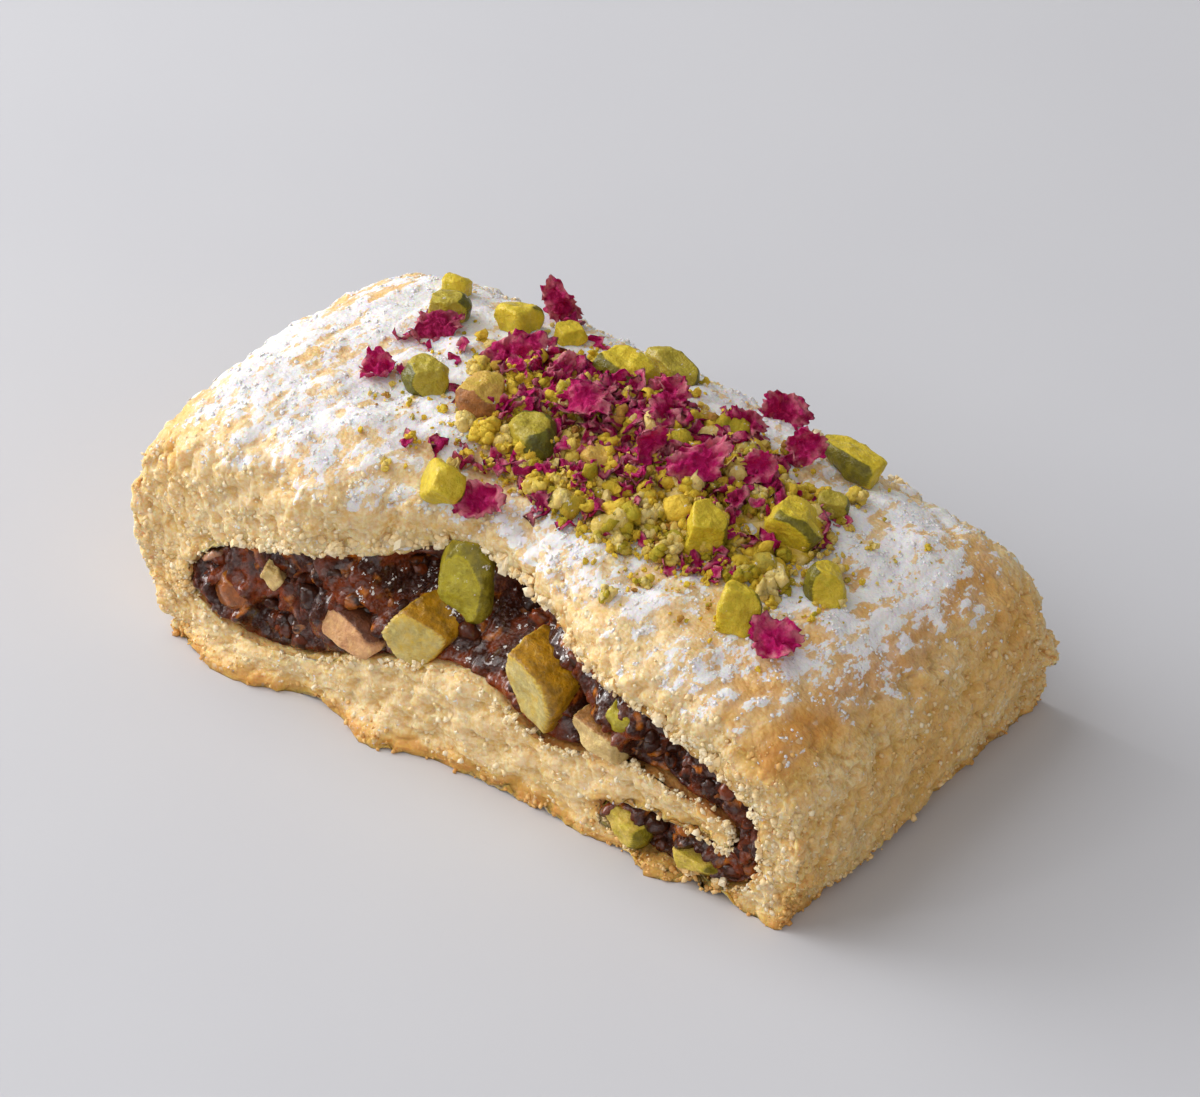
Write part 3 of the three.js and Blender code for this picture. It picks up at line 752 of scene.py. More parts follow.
dough_crumb = crumb_material()
x, y, z = dough_points.T
open_side = smooth((-dough_normals[:, 1] - 0.3) / 0.3)
far_side = smooth((dough_normals[:, 1] - 0.3) / 0.3)
hanging = np.exp(-(((z - 16.0 + 0.08 * x) / 3.5) ** 2)) * (y < 0)
foot = smooth((3.4 - z) / 2) * smooth(z / 0.4)
ends = smooth((np.abs(dough_normals[:, 0]) - 0.5) / 0.3)
front_weight = open_side * (0.7 + 0.8 * hanging) + 1.2 * foot * (y < 0)
back_weight = far_side + 0.6 * foot
end_weight = ends * smooth((17 - z) / 5)
cling("open_side_crumbs", 4, front_weight + ANYWHERE, count=3800, low=0.18, high=0.75)
cling("far_side_crumbs", 5, back_weight + ANYWHERE, count=2000, low=0.2, high=0.75)
cling("end_crumbs", 13, end_weight + ANYWHERE, count=2400, low=0.18, high=0.7)


def edge_lumps(name, seed, side, count):
    """Torn lumps of dough along both edges of the paste on one cut side, larger above it."""
    rng = np.random.default_rng(seed)
    stations = curve_points(PASTE, 600)[60:540]
    upper = rng.random(count) < 0.62
    edges = [across_paste(stations, 0.45, share, side * BACK)[rng.integers(0, len(stations), count)]
             for share in (1, -1)]
    places = np.where(upper[:, None], *edges)
    size = 0.6 + np.where(upper, 1.4, 0.45) * rng.random(count) ** 1.6
    places = places + rng.normal(0, 0.22, places.shape)
    places[:, 2] += np.where(upper, 0.3, -0.15) * size
    places[:, 1] = drawn_back(*places.T) - side * rng.uniform(0.05, 0.4, count) * size
    places, size = clustered(rng, places, size, 6)
    dough_lumps(name, rng, places, size, np.full(len(size), 0.9), flat=True)


edge_lumps("open_edge_lumps", 6, side=-1, count=380)
edge_lumps("far_edge_lumps", 7, side=1, count=220)


# ---- Nut paste ----
# A sticky dark brown paste of ground nuts in syrup. It runs through the bar and round inside the fold,
# and its cut front is torn, glossy and pitted where chopped nuts sit in it.

PASTE_RECESS = 0.75
PASTE_FRONT, PASTE_BACK = FRONT + PASTE_RECESS, BACK - PASTE_RECESS
PASTE_STATIONS, PASTE_ROWS = 520, 27
# Deep pits in the front: x, z, radius and depth.
PITS = [(-9.4, 15.6, 2.6, 3.4), (1.6, 15.6, 3.0, 4.2), (-19, 12.8, 1.4, 1.6), (13.8, 12.6, 1.6, 2.0),
        (24.4, 14.0, 1.5, 1.6), (24.2, 3.4, 1.3, 1.6), (-29.5, 10.5, 1.2, 1.2), (-15.5, 16.2, 1.6, 1.6)]
# Where nuts sit in the front, each ringed by a rim of paste: x, z and radius.
SEATS = [(-28.4, 7.6, 2.3), (-13.6, 10.2, 3.0), (-5.9, 12.0, 2.9), (8.7, 13.0, 3.4), (17.2, 12.3, 2.2),
         (19.4, 14.9, 1.6), (19.9, 3.2, 2.2), (28.2, 2.9, 2.2)]


def paste_solid():
    """A tube along the paste's run whose section is a long rectangle across the bar. Both cut faces are
    fine grids, pushed in and out by lumps and pits, and leaning back under the upper dough."""
    stations = curve_points(PASTE, PASTE_STATIONS)
    side = np.linspace(-1, 1, PASTE_ROWS)
    deep = np.array([0.02, 0.06, 0.14, 0.3, 0.6, 0.85, 0.95])
    columns = [(s, PASTE_FRONT) for s in side]
    columns += [(1.0, PASTE_FRONT + (PASTE_BACK - PASTE_FRONT) * d) for d in deep]
    columns += [(s, PASTE_BACK) for s in side[::-2]]
    columns += [(-1.0, PASTE_BACK + (PASTE_FRONT - PASTE_BACK) * d) for d in deep]
    grid = np.stack([across_paste(stations, -0.05, share, y) for share, y in columns], 1)
    flat = grid.reshape(-1, 3)
    x, y, z = flat.T
    cut = (np.abs(y) > PASTE_BACK - 0.01) * 1.0
    outer = np.tile([max(0.0, 1 - abs(s) ** 6) if abs(y) > 20 else 0.0 for s, y in columns], len(stations))
    turned = flat * [1, 0.2, 1] + 0.6 * np.stack([soft_noise(flat, 1.6, s) for s in (71, 72, 74)], -1)
    lump = crumb_relief(turned, 2.5, 73)
    fine_lump = crumb_relief(turned, 1.15, 77)
    push = (1.3 * lump + 0.9 * fine_lump + 0.9 * soft_noise(flat, 4.0, 79)
            + 0.3 * soft_noise(flat, 0.7, 81) - 1.85)
    for at_x, at_z, radius, depth in PITS:
        push = push - depth * (y < 0) * smooth(1.25 - np.hypot(x - at_x, z - at_z) / radius)
    for at_x, at_z, radius in SEATS:
        push = push + 1.0 * (y < 0) * np.exp(-(((np.hypot(x - at_x, z - at_z) - radius) / 0.8) ** 2))
    y = y + np.sign(y) * cut * (0.25 + 0.75 * outer) * push
    grow = 0.18 * soft_noise(flat, 1.6, 83, 2)
    points = into_box(np.stack([x, drawn_back(x, y, z), z + grow * (1 - outer)], -1))
    loops = list(points.reshape(len(stations), len(columns), 3))
    return mesh_object("paste", *capped_rings(loops))


paste = paste_solid()
face_outwards(paste)


def paste_material():
    """Dark brown glossy syrup and ground nut, with red-brown and amber spots where light comes through,
    wet and dull patches, purplish-grey patches of painted sheen, and a little dust where it faces up."""
    material, tree, shader = new_material(
        "dark_nut_paste", {"Coat Roughness": 0.06, "Coat IOR": 1.6, "Specular IOR Level": 0.05},
        (0.3, 0.0008, (1.0, 0.25, 0.08)))
    place = own_place(tree)
    colour = blend(spread(cloud(place, 3.0), 0.46, 0.6), (0.052, 0.013, 0.006), (0.21, 0.040, 0.009))
    colour = blend(spread(cloud(place, 2.3), 0.6, 0.7), colour, (0.56, 0.17, 0.016))
    # Painted sheen: purplish-grey patches blended into the colour.
    skin = spread(cloud(place, 4.2), 0.56, 0.64)
    colour = blend(times(skin, 0.45), colour, (0.13, 0.060, 0.048))
    dust = times(spread(facing_up(tree), -0.1, 0.8), spread(cloud(place, 0.3, 3.0), 0.5, 0.62))
    seed = minus(0.5, grains(place, 0.42)[0])
    put_values(shader, {
        "Base Color": blend(times(dust, 0.18), colour, (0.55, 0.46, 0.47)),
        "Coat Weight": spread(cloud(place, 1.0, 3.0), 0.44, 0.58, 0.06, 1.0),
        "Roughness": spread(cloud(place, 1.2), 0.35, 0.65, 0.18, 0.5),
        "Normal": relief(plus(cloud(place, 1.2), times(seed, 0.25)), 0.7),
    })
    return material


paste.data.materials.append(paste_material())
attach(paste, "root")
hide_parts("nut_paste")


# ---- Chopped bits in the paste ----
# Small chopped nuts and lumps of syrup that stick out of the paste at both cuts, all coated dark.

rng = np.random.default_rng(9)
stations = curve_points(PASTE, 900)
count = 340
rng.integers(8, 880, count)  # nothing uses these numbers, but the draws after them depend on them
share = rng.uniform(-0.92, 0.92, count)
across = np.array([across_paste(stations, 0, s, PASTE_FRONT) for s in (0.0, 1.0)])
which = rng.integers(8, 890, count)
middle, edge = across[0][which], across[1][which]
places = middle + (edge - middle) * share[:, None]
back_cut = rng.random(count) < 0.25
size = 0.6 + 2.0 * rng.random(count) ** 1.8
depth = 0.55 + 0.5 * rng.random(count)
places[:, 1] = np.where(back_cut, PASTE_BACK - depth, PASTE_FRONT + depth)
for at_x, at_z, radius, pit_depth in PITS:
    inside = np.hypot(places[:, 0] - at_x, places[:, 2] - at_z) < radius
    places[:, 1] += np.where(inside & ~back_cut, pit_depth, 0)
places[:, 1] = drawn_back(*places.T)
paste_bits = joined_lumps("paste_bits", rng, places, size, shape=(6, 9), uneven=0.09, cut=True)


def bit_material():
    """Coated nut bits: dark brown, some amber and a few pinkish, wetter with syrup in patches."""
    material, tree, shader = new_material(
        "coated_bit", {"Coat Roughness": 0.06, "Coat IOR": 1.6, "Roughness": 0.4, "Specular IOR Level": 0.1},
        (0.3, 0.0005, (1.0, 0.3, 0.1)))
    place, shade = own_place(tree), stored(tree, "shade")
    colour = layered(shade, (0.050, 0.012, 0.005), (0.3, 0.6, (0.19, 0.036, 0.008)),
                     (0.78, 0.86, (0.40, 0.12, 0.018)), (0.94, 0.96, (0.50, 0.25, 0.14)))
    dirty = spread(cloud(place, 1.2), 0.46, 0.62)
    put_values(shader, {
        "Base Color": blend(dirty, colour, (0.045, 0.016, 0.010)),
        "Coat Weight": spread(cloud(place, 0.9, 3.0), 0.44, 0.6, 0.12, 1.0),
        "Normal": relief(cloud(place, 0.8), 0.35),
    })
    return material


paste_bits.data.materials.append(bit_material())
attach(paste_bits, "root")


# ---- Nuts in the paste ----
# Cut hazelnuts, an almond, a syrup-coated nut and pistachios, pressed into the paste so that a cut
# face of each shows at the open side.

def hash_value(k):
    """Fraction of 43758.5453 sin(12.9898 k), the rule that the solids' cuts follow."""
    value = math.sin(k * 12.9898) * 43758.5453
    return value - math.floor(value)


def nut_cuts(seed):
    """Eight flat cuts round a nut's middle, one near each end of the three axes and two at random, as
    directions and distances."""
    cuts = []
    for k in range(8):
        axis = np.zeros(3)
        axis[k % 3] = 1 if k < 3 else -1
        if k > 5:
            axis = np.array([hash_value(seed + k + step) - 0.5 for step in (0, 20, 40)])
        axis = axis + 0.5 * (np.array([hash_value(seed + 3 * k + step) for step in (1, 2, 3)]) - 0.5)
        cuts.append((axis / np.linalg.norm(axis), 0.84 + 0.22 * hash_value(seed + 7 * k)))
    return cuts


def turning(roll, pitch, yaw):
    """Matrix that turns by yaw about Z, then pitch about Y, then roll about X, taken the moving way."""
    (cx, sx), (cy, sy), (cz, sz) = [(math.cos(math.radians(t)), math.sin(math.radians(t)))
                                    for t in (roll, pitch, yaw)]
    about_x = np.array([[1, 0, 0], [0, cx, -sx], [0, sx, cx]])
    about_y = np.array([[cy, 0, sy], [0, 1, 0], [-sy, 0, cy]])
    about_z = np.array([[cz, -sz, 0], [sz, cz, 0], [0, 0, 1]])
    return about_z @ about_y @ about_x


# How far out the cuts and the skin of a nut stand. Hazelnuts are chopped to cubes.
NUT_FORM, HAZELNUT_FORM = (0.74, 1.1), (0.58, 0.76)


def chopped_nut(name, at, size, turn, seed, skins, rough, sharp, form=NUT_FORM):
    """An egg-shaped nut with flat cuts, size across: its reach in each direction is the power mean of
    the egg and of the cuts, which stand at their own distance times form's first number. sharp is the
    mean's power. The nut is worn by two noises and scooped out by chips. skins are the numbers of the
    cuts that its own skin takes the place of: softly rounded sides at form's second number, out of the
    egg altogether where that is over 1."""
    close, skin_reach = form
    rays, faces = ball(48, 64)
    facing = np.stack([np.maximum(0, rays @ axis) / reach for axis, reach in nut_cuts(seed)], -1)
    own = facing[:, list(skins)] / skin_reach
    bare = np.delete(facing, skins, axis=1) / close
    body = (1 + np.sum(own**14, -1)) ** (1 / 14)
    local = rays / ((body**sharp + np.sum(bare**sharp, -1)) ** (1 / sharp))[:, None]
    low, high = local.min(0), local.max(0)
    local = (local - (low + high) / 2) / (high - low) * size
    turned = local @ turning(*turn).T
    worn = soft_noise(turned + seed, 2.6, seed, 2) * 5 + soft_noise(turned - seed, 0.7, seed + 1, 2) * 1.6
    warp = 0.5 * np.stack([soft_noise(turned, 1.2, seed + k) for k in (3, 4, 5)], -1)
    scoops = crumb_relief(turned + seed + warp, 2.1, seed + 2)
    worn = worn - 4 * (scoops - 0.7)
    turned = turned * (1 + rough * worn[:, None] / np.linalg.norm(turned, axis=1)[:, None])
    obj = mesh_object(name, into_box(turned + np.array(at)), faces)
    skin = smooth((body - bare.max(-1)) / 0.1 + 0.5) * smooth((own.max(-1, initial=0) - 0.42) / 0.2)
    put_attribute(obj, "skin", skin)
    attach(obj, "root")
    return obj


def nut_material(name, inner, skin, edge, gloss, tone=0.5, sugar=0.0):
    """A cut nut: its pale inside, clouded and grainy, its skin where a side was left on, and a stronger
    colour along the edge between them. gloss is how wet it is with syrup, tone how deep its clouds are
    and sugar how thickly sugar lies where it faces up."""
    material, tree, shader = new_material(name, {
        "Coat Weight": gloss, "Coat Roughness": 0.12, "Roughness": 0.45, "Specular IOR Level": 0.25,
    }, (0.4, 0.0006, (1.0, 0.8, 0.35)))
    place = own_place(tree)
    torn = spread(cloud(place, 1.1, 4.0, 0.65), 0.3, 0.7, -0.3, 0.3)
    covered = plus(stored(tree, "skin"), torn)
    share = spread(covered, 0.3, 0.8)
    rim = times(spread(covered, -0.1, 0.4), minus(1.0, share))
    deeper = (0.55 * inner[0], 0.52 * inner[1], 0.25 * inner[2])
    paler = (inner[0] + 0.08, inner[1] + 0.10, inner[2] + 0.02)
    dark_skin = tuple(0.6 * c for c in skin)
    colour = blend(spread(cloud(place, 1.4, 3.0), 0.35, 0.65, 0.0, tone), inner, deeper)
    colour = blend(spread(cloud(place, 0.8, 3.0, 0.6), 0.5, 0.66, 0.0, 0.8), colour, paler)
    colour = blend(rim, colour, edge)
    colour = blend(share, colour, blend(spread(cloud(place, 0.9, 3.0), 0.4, 0.62), skin, dark_skin))
    if sugar:
        colour = blend(powder(spread(facing_up(tree), 0.1, 0.9, 0.0, sugar)), colour, SUGAR_WHITE)
    height = plus(cloud(place, 0.6, 3.0, 0.6), times(cloud(place, 0.2), 0.4))
    put_values(shader, {"Base Color": colour, "Normal": relief(height, 0.26)})
    return material


PISTACHIO_INSIDE, PISTACHIO_SKIN = (0.74, 0.54, 0.035), (0.22, 0.185, 0.008)
PISTACHIO_EDGE = (0.52, 0.42, 0.014)
hazelnut = nut_material("hazelnut", (0.64, 0.50, 0.18), (0.50, 0.25, 0.004), (0.70, 0.44, 0.02), 0.5)
pale_nut = nut_material("pale_nut", (0.80, 0.58, 0.26), (0.40, 0.18, 0.04), (0.5, 0.3, 0.1), 0.25)
almond = nut_material("almond", (0.76, 0.42, 0.20), (0.16, 0.05, 0.02), (0.42, 0.17, 0.07), 0.3, tone=0.3)
amber = nut_material("amber_nut", (0.52, 0.18, 0.016), (0.40, 0.11, 0.01), (0.46, 0.16, 0.015), 0.9,
                     tone=0.6)
green_nut = nut_material("open_pistachio", (0.46, 0.38, 0.03), (0.34, 0.28, 0.018), PISTACHIO_EDGE, 0.4,
                         tone=0.8, sugar=0.3)
lower_green = nut_material("lower_pistachio", (0.74, 0.52, 0.11), (0.30, 0.24, 0.008), PISTACHIO_EDGE, 0.2)

# Name, middle, size, turn about X, Y and Z, finish, the kind of nut, which sets its form, and the cuts that
# carry skin.
PASTE_NUTS = [
    ("amber_nut", (-28.3, -20.0, 7.5), (4.6, 4.2, 4.8), (0, 10, 0), amber, "amber_nut", (0, 1, 3, 4, 5, 7)),
    ("pale_nut_bit", (-22.8, -20.9, 12.8), (2.8, 2.4, 2.3), (0, 30, 10), pale_nut, "hazelnut", ()),
    ("almond_slab", (-13.5, -20.0, 10.2), (8.0, 4.6, 3.3), (0, 14, 0), almond, "almond", (2,)),
    ("hazelnut_wedge", (-5.9, -18.5, 12.0), (6.0, 5.8, 6.2), (0, 26, 4), hazelnut, "hazelnut", (2, 0)),
    ("open_pistachio", (-3.8, -14.4, 16.2), (5.4, 4.2, 8.4), (-22, -6, 8), green_nut, "pistachio", (0, 6)),
    ("hazelnut_cube", (8.7, -18.9, 13.1), (7.4, 6.8, 7.0), (0, 24, 2), hazelnut, "hazelnut", (2, 0)),
    ("pale_nut_piece", (17.2, -20.3, 12.3), (6.2, 4.2, 3.1), (0, 4, 0), pale_nut, "hazelnut", (2,)),
    ("pistachio_end", (19.3, -20.0, 14.9), (3.5, 4.0, 3.3), (0, 20, 0), green_nut, "pistachio", (0,)),
    ("lower_pistachio_left", (19.9, -20.4, 3.2), (5.6, 4.4, 3.6), (0, 18, 0), lower_green, "pistachio",
     (0, 3)),
    ("lower_pistachio_right", (28.2, -20.4, 2.9), (5.6, 4.2, 3.1), (0, 12, 0), lower_green, "pistachio",
     (0, 5)),
]

for number, (name, at, size, turn, finish, slot, skins) in enumerate(PASTE_NUTS):
    form = HAZELNUT_FORM if slot == "hazelnut" else NUT_FORM
    nut = chopped_nut("cut_" + name, at, size, turn, 11 + 5 * number, skins, rough=0.055, sharp=50,
                      form=form)
    nut.data.materials.append(finish)
    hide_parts(name)


# ---- Pistachios on the top ----
# Chopped pistachios, pressed lightly into the unbaked top: yellow-green cut faces, and dark green or
# brownish skin on the sides that were the outside of the nut.

# The outline's upper run starts at this height, and the bar's length is taken near the top.
TOP_START, TOP_LEVEL = 17, 25.0
top_outline = curve_points(OUTLINE, 400)
top_outline = top_outline[top_outline[:, 1] > TOP_START]


def top_height(x, y):
    """Height of the dough's top: the outline's upper run, rounded off across the bar and uneven. Six
    rounds find the y that a point had before its lip was drawn back."""
    x, y = np.asarray(x, float), np.asarray(y, float)
    straight = y
    for _ in range(6):
        straight = y - lip_back(x) * lip_fade(straight)
    along = x / length_share(x, straight, TOP_LEVEL)
    high = np.interp(along, top_outline[:, 0], top_outline[:, 1])
    return high * height_share(x, straight) + unevenness(x, straight)


def over_top(x, y, over):
    """Places at that height over the dough's top."""
    return np.stack([x, y, top_height(x, y) + over], -1)


def on_top(x, y):
    """Tilts in degrees about X and Y that lay a thing along the top's slope, taken over 2 mm."""
    step = 1.0
    rise = (top_height(x, y + step) - top_height(x, y - step)) / (2 * step)
    fall = (top_height(x + step, y) - top_height(x - step, y)) / (2 * step)
    return math.degrees(math.atan(rise)), -math.degrees(math.atan(fall))


fresh = nut_material("pistachio", PISTACHIO_INSIDE, PISTACHIO_SKIN, PISTACHIO_EDGE, 0.2, sugar=0.12)
dark = nut_material("dark_pistachio", (0.48, 0.37, 0.04), (0.15, 0.14, 0.008), (0.44, 0.36, 0.02), 0.3,
                    sugar=0.2)
tan = nut_material("brown_pistachio", (0.68, 0.42, 0.10), (0.42, 0.17, 0.05), (0.55, 0.40, 0.04), 0.05,
                   sugar=0.15)

# Place, size, turn about the upright, share of the height that shows, finish and the skin's cuts.
TOP_NUTS = [
    ((-26.9, 12.6), (3.2, 2.8, 2.4), 20, 0.8, fresh, ()),
    ((-23.6, 7.5), (4.6, 3.8, 3.2), 35, 0.8, dark, (0, 6)),
    ((-17.6, 10.8), (5.2, 4.4, 3.6), 10, 0.85, fresh, (6,)),
    ((-12.6, 12.6), (3.4, 3.0, 2.6), 60, 0.8, fresh, ()),
    ((-17.9, -3.4), (5.0, 4.4, 4.0), -30, 0.85, dark, (0, 4)),
    ((-11.0, -3.2), (5.6, 5.2, 4.6), 25, 0.85, tan, (3, 4)),
    ((-3.7, 9.6), (7.0, 5.0, 4.0), 8, 0.9, fresh, (4,)),
    ((-2.2, 15.6), (6.6, 4.0, 3.4), -12, 0.8, dark, (0, 1)),
    ((-7.2, -13.6), (4.4, 4.2, 5.6), 30, 0.7, fresh, (0,)),
    ((-3.8, -4.4), (5.8, 5.0, 4.2), -20, 0.85, dark, (0, 6, 1)),
    ((18.5, 16.2), (8.0, 3.8, 3.2), -8, 0.85, fresh, (3, 4)),
    ((16.6, -4.4), (4.6, 4.4, 5.8), 40, 0.8, fresh, (0,)),
    ((22.0, 2.3), (6.2, 5.4, 4.2), 15, 0.9, fresh, (0, 7)),
    ((24.8, -10.4), (4.6, 4.4, 6.0), 25, 0.75, fresh, (0,)),
    ((28.2, -1.8), (4.2, 4.0, 4.6), 50, 0.75, fresh, (3,)),
    ((2.9, -2.8), (3.6, 3.4, 3.4), 0, 0.95, tan, ()),
    ((22.2, 8.0), (3.6, 3.4, 3.0), 30, 0.8, dark, (0, 1)),
]

for number, (at, size, yaw, show, finish, skins) in enumerate(TOP_NUTS):
    place = (*at, float(top_height(*at)) + (show - 0.5) * size[2])
    name = f"pistachio_{number + 1:02d}"
    seen, turn = 0.9 * np.array(size), (*on_top(*at), yaw)
    nut = chopped_nut("chopped_" + name, place, seen, turn, 101 + 5 * number, skins, rough=0.06, sharp=40)
    nut.data.materials.append(finish)
    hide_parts(name)


# ---- Heap of crumbs ----
# Pistachio ground and chopped fine, heaped along the middle of the top: a low mound of fine meal, with
# crumbs of every size on it and strewn round it.

HEAP_AT, HEAP_LONG, HEAP_WIDE, HEAP_THICK = (5.5, 1.0), 19.5, 9.8, 1.3
HEAP_RINGS, HEAP_TURNS = 30, 96
# How far things are strewn: along the bar from the heap, to the front and back, and behind the lip.
STREWN_LONG, STREWN_FRONT, STREWN_BACK, STREWN_LIP = 27, -16.5, 18, 3.4


def heap_rise(x, y):
    """Height of the mound over the dough: a flattened oval with ragged edges and lumps."""
    across, along = (x - HEAP_AT[0]) / HEAP_LONG, (y - HEAP_AT[1]) / HEAP_WIDE
    turn = np.arctan2(along, across)
    ragged = 1 + 0.09 * np.sin(3 * turn + 1) + 0.07 * np.sin(7 * turn) + 0.05 * np.sin(11 * turn + 2)
    away = np.hypot(across, along) / ragged
    flat = np.stack([x, y, 0 * x], -1)
    lump = 0.8 + 0.35 * soft_noise(flat, 3.5, 91) + 0.25 * soft_noise(flat, 1.5, 93)
    return HEAP_THICK * lump * np.sqrt(np.maximum(0, 1 - away**2))


def heap_core():
    """The mound's meal: rings round its middle, lying on the dough, over an underside sunk into it."""
    turns = 2 * math.pi * np.arange(HEAP_TURNS) / HEAP_TURNS
    rings = []
    for share in np.r_[np.linspace(0.04, 1.0, HEAP_RINGS), 0.6, 0.1]:
        rings.append([HEAP_AT[0] + HEAP_LONG * share * np.cos(turns),
                      HEAP_AT[1] + HEAP_WIDE * share * np.sin(turns)])
    loops = []
    for number, (x, y) in enumerate(rings):
        spot = np.stack([x, y, 0 * x], -1)
        grainy = 0.35 * crumb_relief(spot, 1.1, 95) + 0.12 * crumb_relief(spot, 0.6, 97)
        high = heap_rise(x, y) + grainy - 0.5 if number < HEAP_RINGS else -1.2
        loops.append(over_top(x, y, high))
    return mesh_object("heap_meal", *capped_rings(loops))


def meal_material(name):
    """Ground pistachio: yellow-green to olive from grain to grain, with pale and brown flecks."""
    material, tree, shader = new_material(
        name, {"Roughness": 0.6, "Specular IOR Level": 0.2}, (0.3, 0.0003, (1.0, 0.8, 0.4)))
    place, shade = own_place(tree), stored(tree, "shade")
    colour = layered(shade, (0.90, 0.60, 0.07), (0.0, 0.35, (0.74, 0.53, 0.045)),
                     (0.42, 0.62, (0.90, 0.70, 0.28)), (0.68, 0.74, (0.46, 0.37, 0.025)),
                     (0.88, 0.9, (0.46, 0.22, 0.05)))
    mottled = spread(cloud(place, 0.6, 3.0), 0.42, 0.62, 0.0, 0.4)
    colour = blend(mottled, colour, (0.68, 0.43, 0.025))
    mask = powder(spread(facing_up(tree), 0.1, 0.9, 0.0, 0.18))
    put_values(shader, {
        "Base Color": blend(mask, colour, SUGAR_WHITE),
        "Normal": relief(cloud(place, 0.5, 4.0, 0.65), 0.45),
    })
    return material


heap_meal = heap_core()
face_outwards(heap_meal)
points, normals = mesh_arrays(heap_meal)
put_attribute(heap_meal, "shade", 0.5 + 0.5 * soft_noise(points, 0.9, 99))
heap_meal.data.materials.append(meal_material("pistachio_meal"))
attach(heap_meal, "root")
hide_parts("pistachio_crumbs")

rng = np.random.default_rng(12)


def strewn(rng, count, spread_out):
    """Places over the heap: most of them on the mound, the rest thinning out round it, further on the
    side of the open cut."""
    turn = rng.uniform(0, 2 * math.pi, count)
    away = np.sqrt(rng.uniform(0, 1, count))
    away = away * (1 + spread_out * rng.exponential(0.5, count) * (rng.random(count) < 0.4))
    x = HEAP_AT[0] + HEAP_LONG * away * np.cos(turn)
    y = HEAP_AT[1] + HEAP_WIDE * away * np.sin(turn) - 1.8 * (np.sin(turn) < 0) * away
    front = np.maximum(STREWN_FRONT, FRONT + lip_back(x) + STREWN_LIP)
    kept = (np.abs(x - HEAP_AT[0]) < STREWN_LONG) & (y > front) & (y < STREWN_BACK)
    return x[kept], y[kept]


def crumbs_on_top(name, rng, count, low, high, spread_out, each, rise, cut=False, soft=False):
    """Joined crumbs from low to high in size, lying on the mound or the dough by the share rise of their
    size. Each is one lump or, where each is more than 1, a ragged cluster of that many. They are chopped
    nut if cut, rounded if soft and else plain grains."""
    x, y = strewn(rng, count, spread_out)
    size = low + (high - low) * rng.random(len(x)) ** 2.2
    z = top_height(x, y) + heap_rise(x, y) + size * rise * rng.uniform(0.4, 1.0, len(x))
    places = np.stack([x, y, z], -1)
    if each > 1:
        places, size = clustered(rng, places, size, each)
    shape, uneven = ((9, 14), 0.05) if cut else ((4, 7), 0.2) if soft else ((2, 5), 0.42)
    chopped = cut or soft
    obj = joined_lumps(name, rng, places, size, uneven, shape, flat=not chopped, cut=chopped)
    shade = np.repeat(rng.uniform(0, 1, len(x)), each) * 0.85 + 0.15 * rng.uniform(0, 1, len(size))
    corners = len(obj.data.vertices) // len(size)
    obj.data.attributes["shade"].data.foreach_set("value", np.repeat(shade, corners).astype(np.float32))
    obj.data.materials.append(meal_material(name))
    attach(obj, "root")


crumbs_on_top("nut_chips", rng, 80, low=0.9, high=2.6, spread_out=0.3, each=1, rise=0.3, cut=True)
crumbs_on_top("large_crumbs", rng, 280, low=1.3, high=2.9, spread_out=0.3, each=9, rise=0.32, soft=True)
crumbs_on_top("small_crumbs", rng, 560, low=0.7, high=1.6, spread_out=0.5, each=7, rise=0.4)
crumbs_on_top("fine_crumbs", rng, 4600, low=0.2, high=0.7, spread_out=0.6, each=1, rise=0.45)


# ---- Rose petals ----
# Dried rose petals, torn and crinkled, dark red to magenta and paler along their torn edges. The large
# ones lie on the top or stand between the nuts, and their bits are mixed into the heap.

PETAL_THICK, PETAL_LONG = 0.07, 1.2


def petal_sheets(rng, count, rings, turns, ragged, crinkle):
    """Points of each petal, in rings from its middle out to a ragged edge, which is the sum of five
    waves round it. It is crinkled by three waves across it and curled up along one line."""
    out = np.r_[0, np.linspace(1 / rings, 1, rings)][:, None] * np.ones(turns)[None, :]
    turn = 2 * math.pi * np.arange(turns)[None, :] / turns + 0 * out
    phase = rng.uniform(0, 2 * math.pi, (count, 8, 1, 1))
    edge = 1 + sum(ragged * share * np.sin(k * turn + phase[:, i])
                   for i, (k, share) in enumerate(((2, 0.9), (3, 0.6), (6, 0.3), (12, 0.3), (21, 0.35))))
    x = out * edge * np.cos(turn)
    y = out * edge * np.sin(turn)
    wave = (np.sin(4.2 * x + 2.0 * y + phase[:, 5]) + 0.8 * np.sin(6.6 * y - 3.0 * x + phase[:, 6])
            + 0.5 * np.sin(11 * x + 8 * y + phase[:, 7]))
    curl = rng.uniform(0.1, 0.55, (count, 1, 1)) * (x * np.cos(phase[:, 0]) + y * np.sin(phase[:, 0])) ** 2
    z = crinkle * wave * (0.25 + 0.75 * out) + curl
    return np.stack([x, y, z], -1)


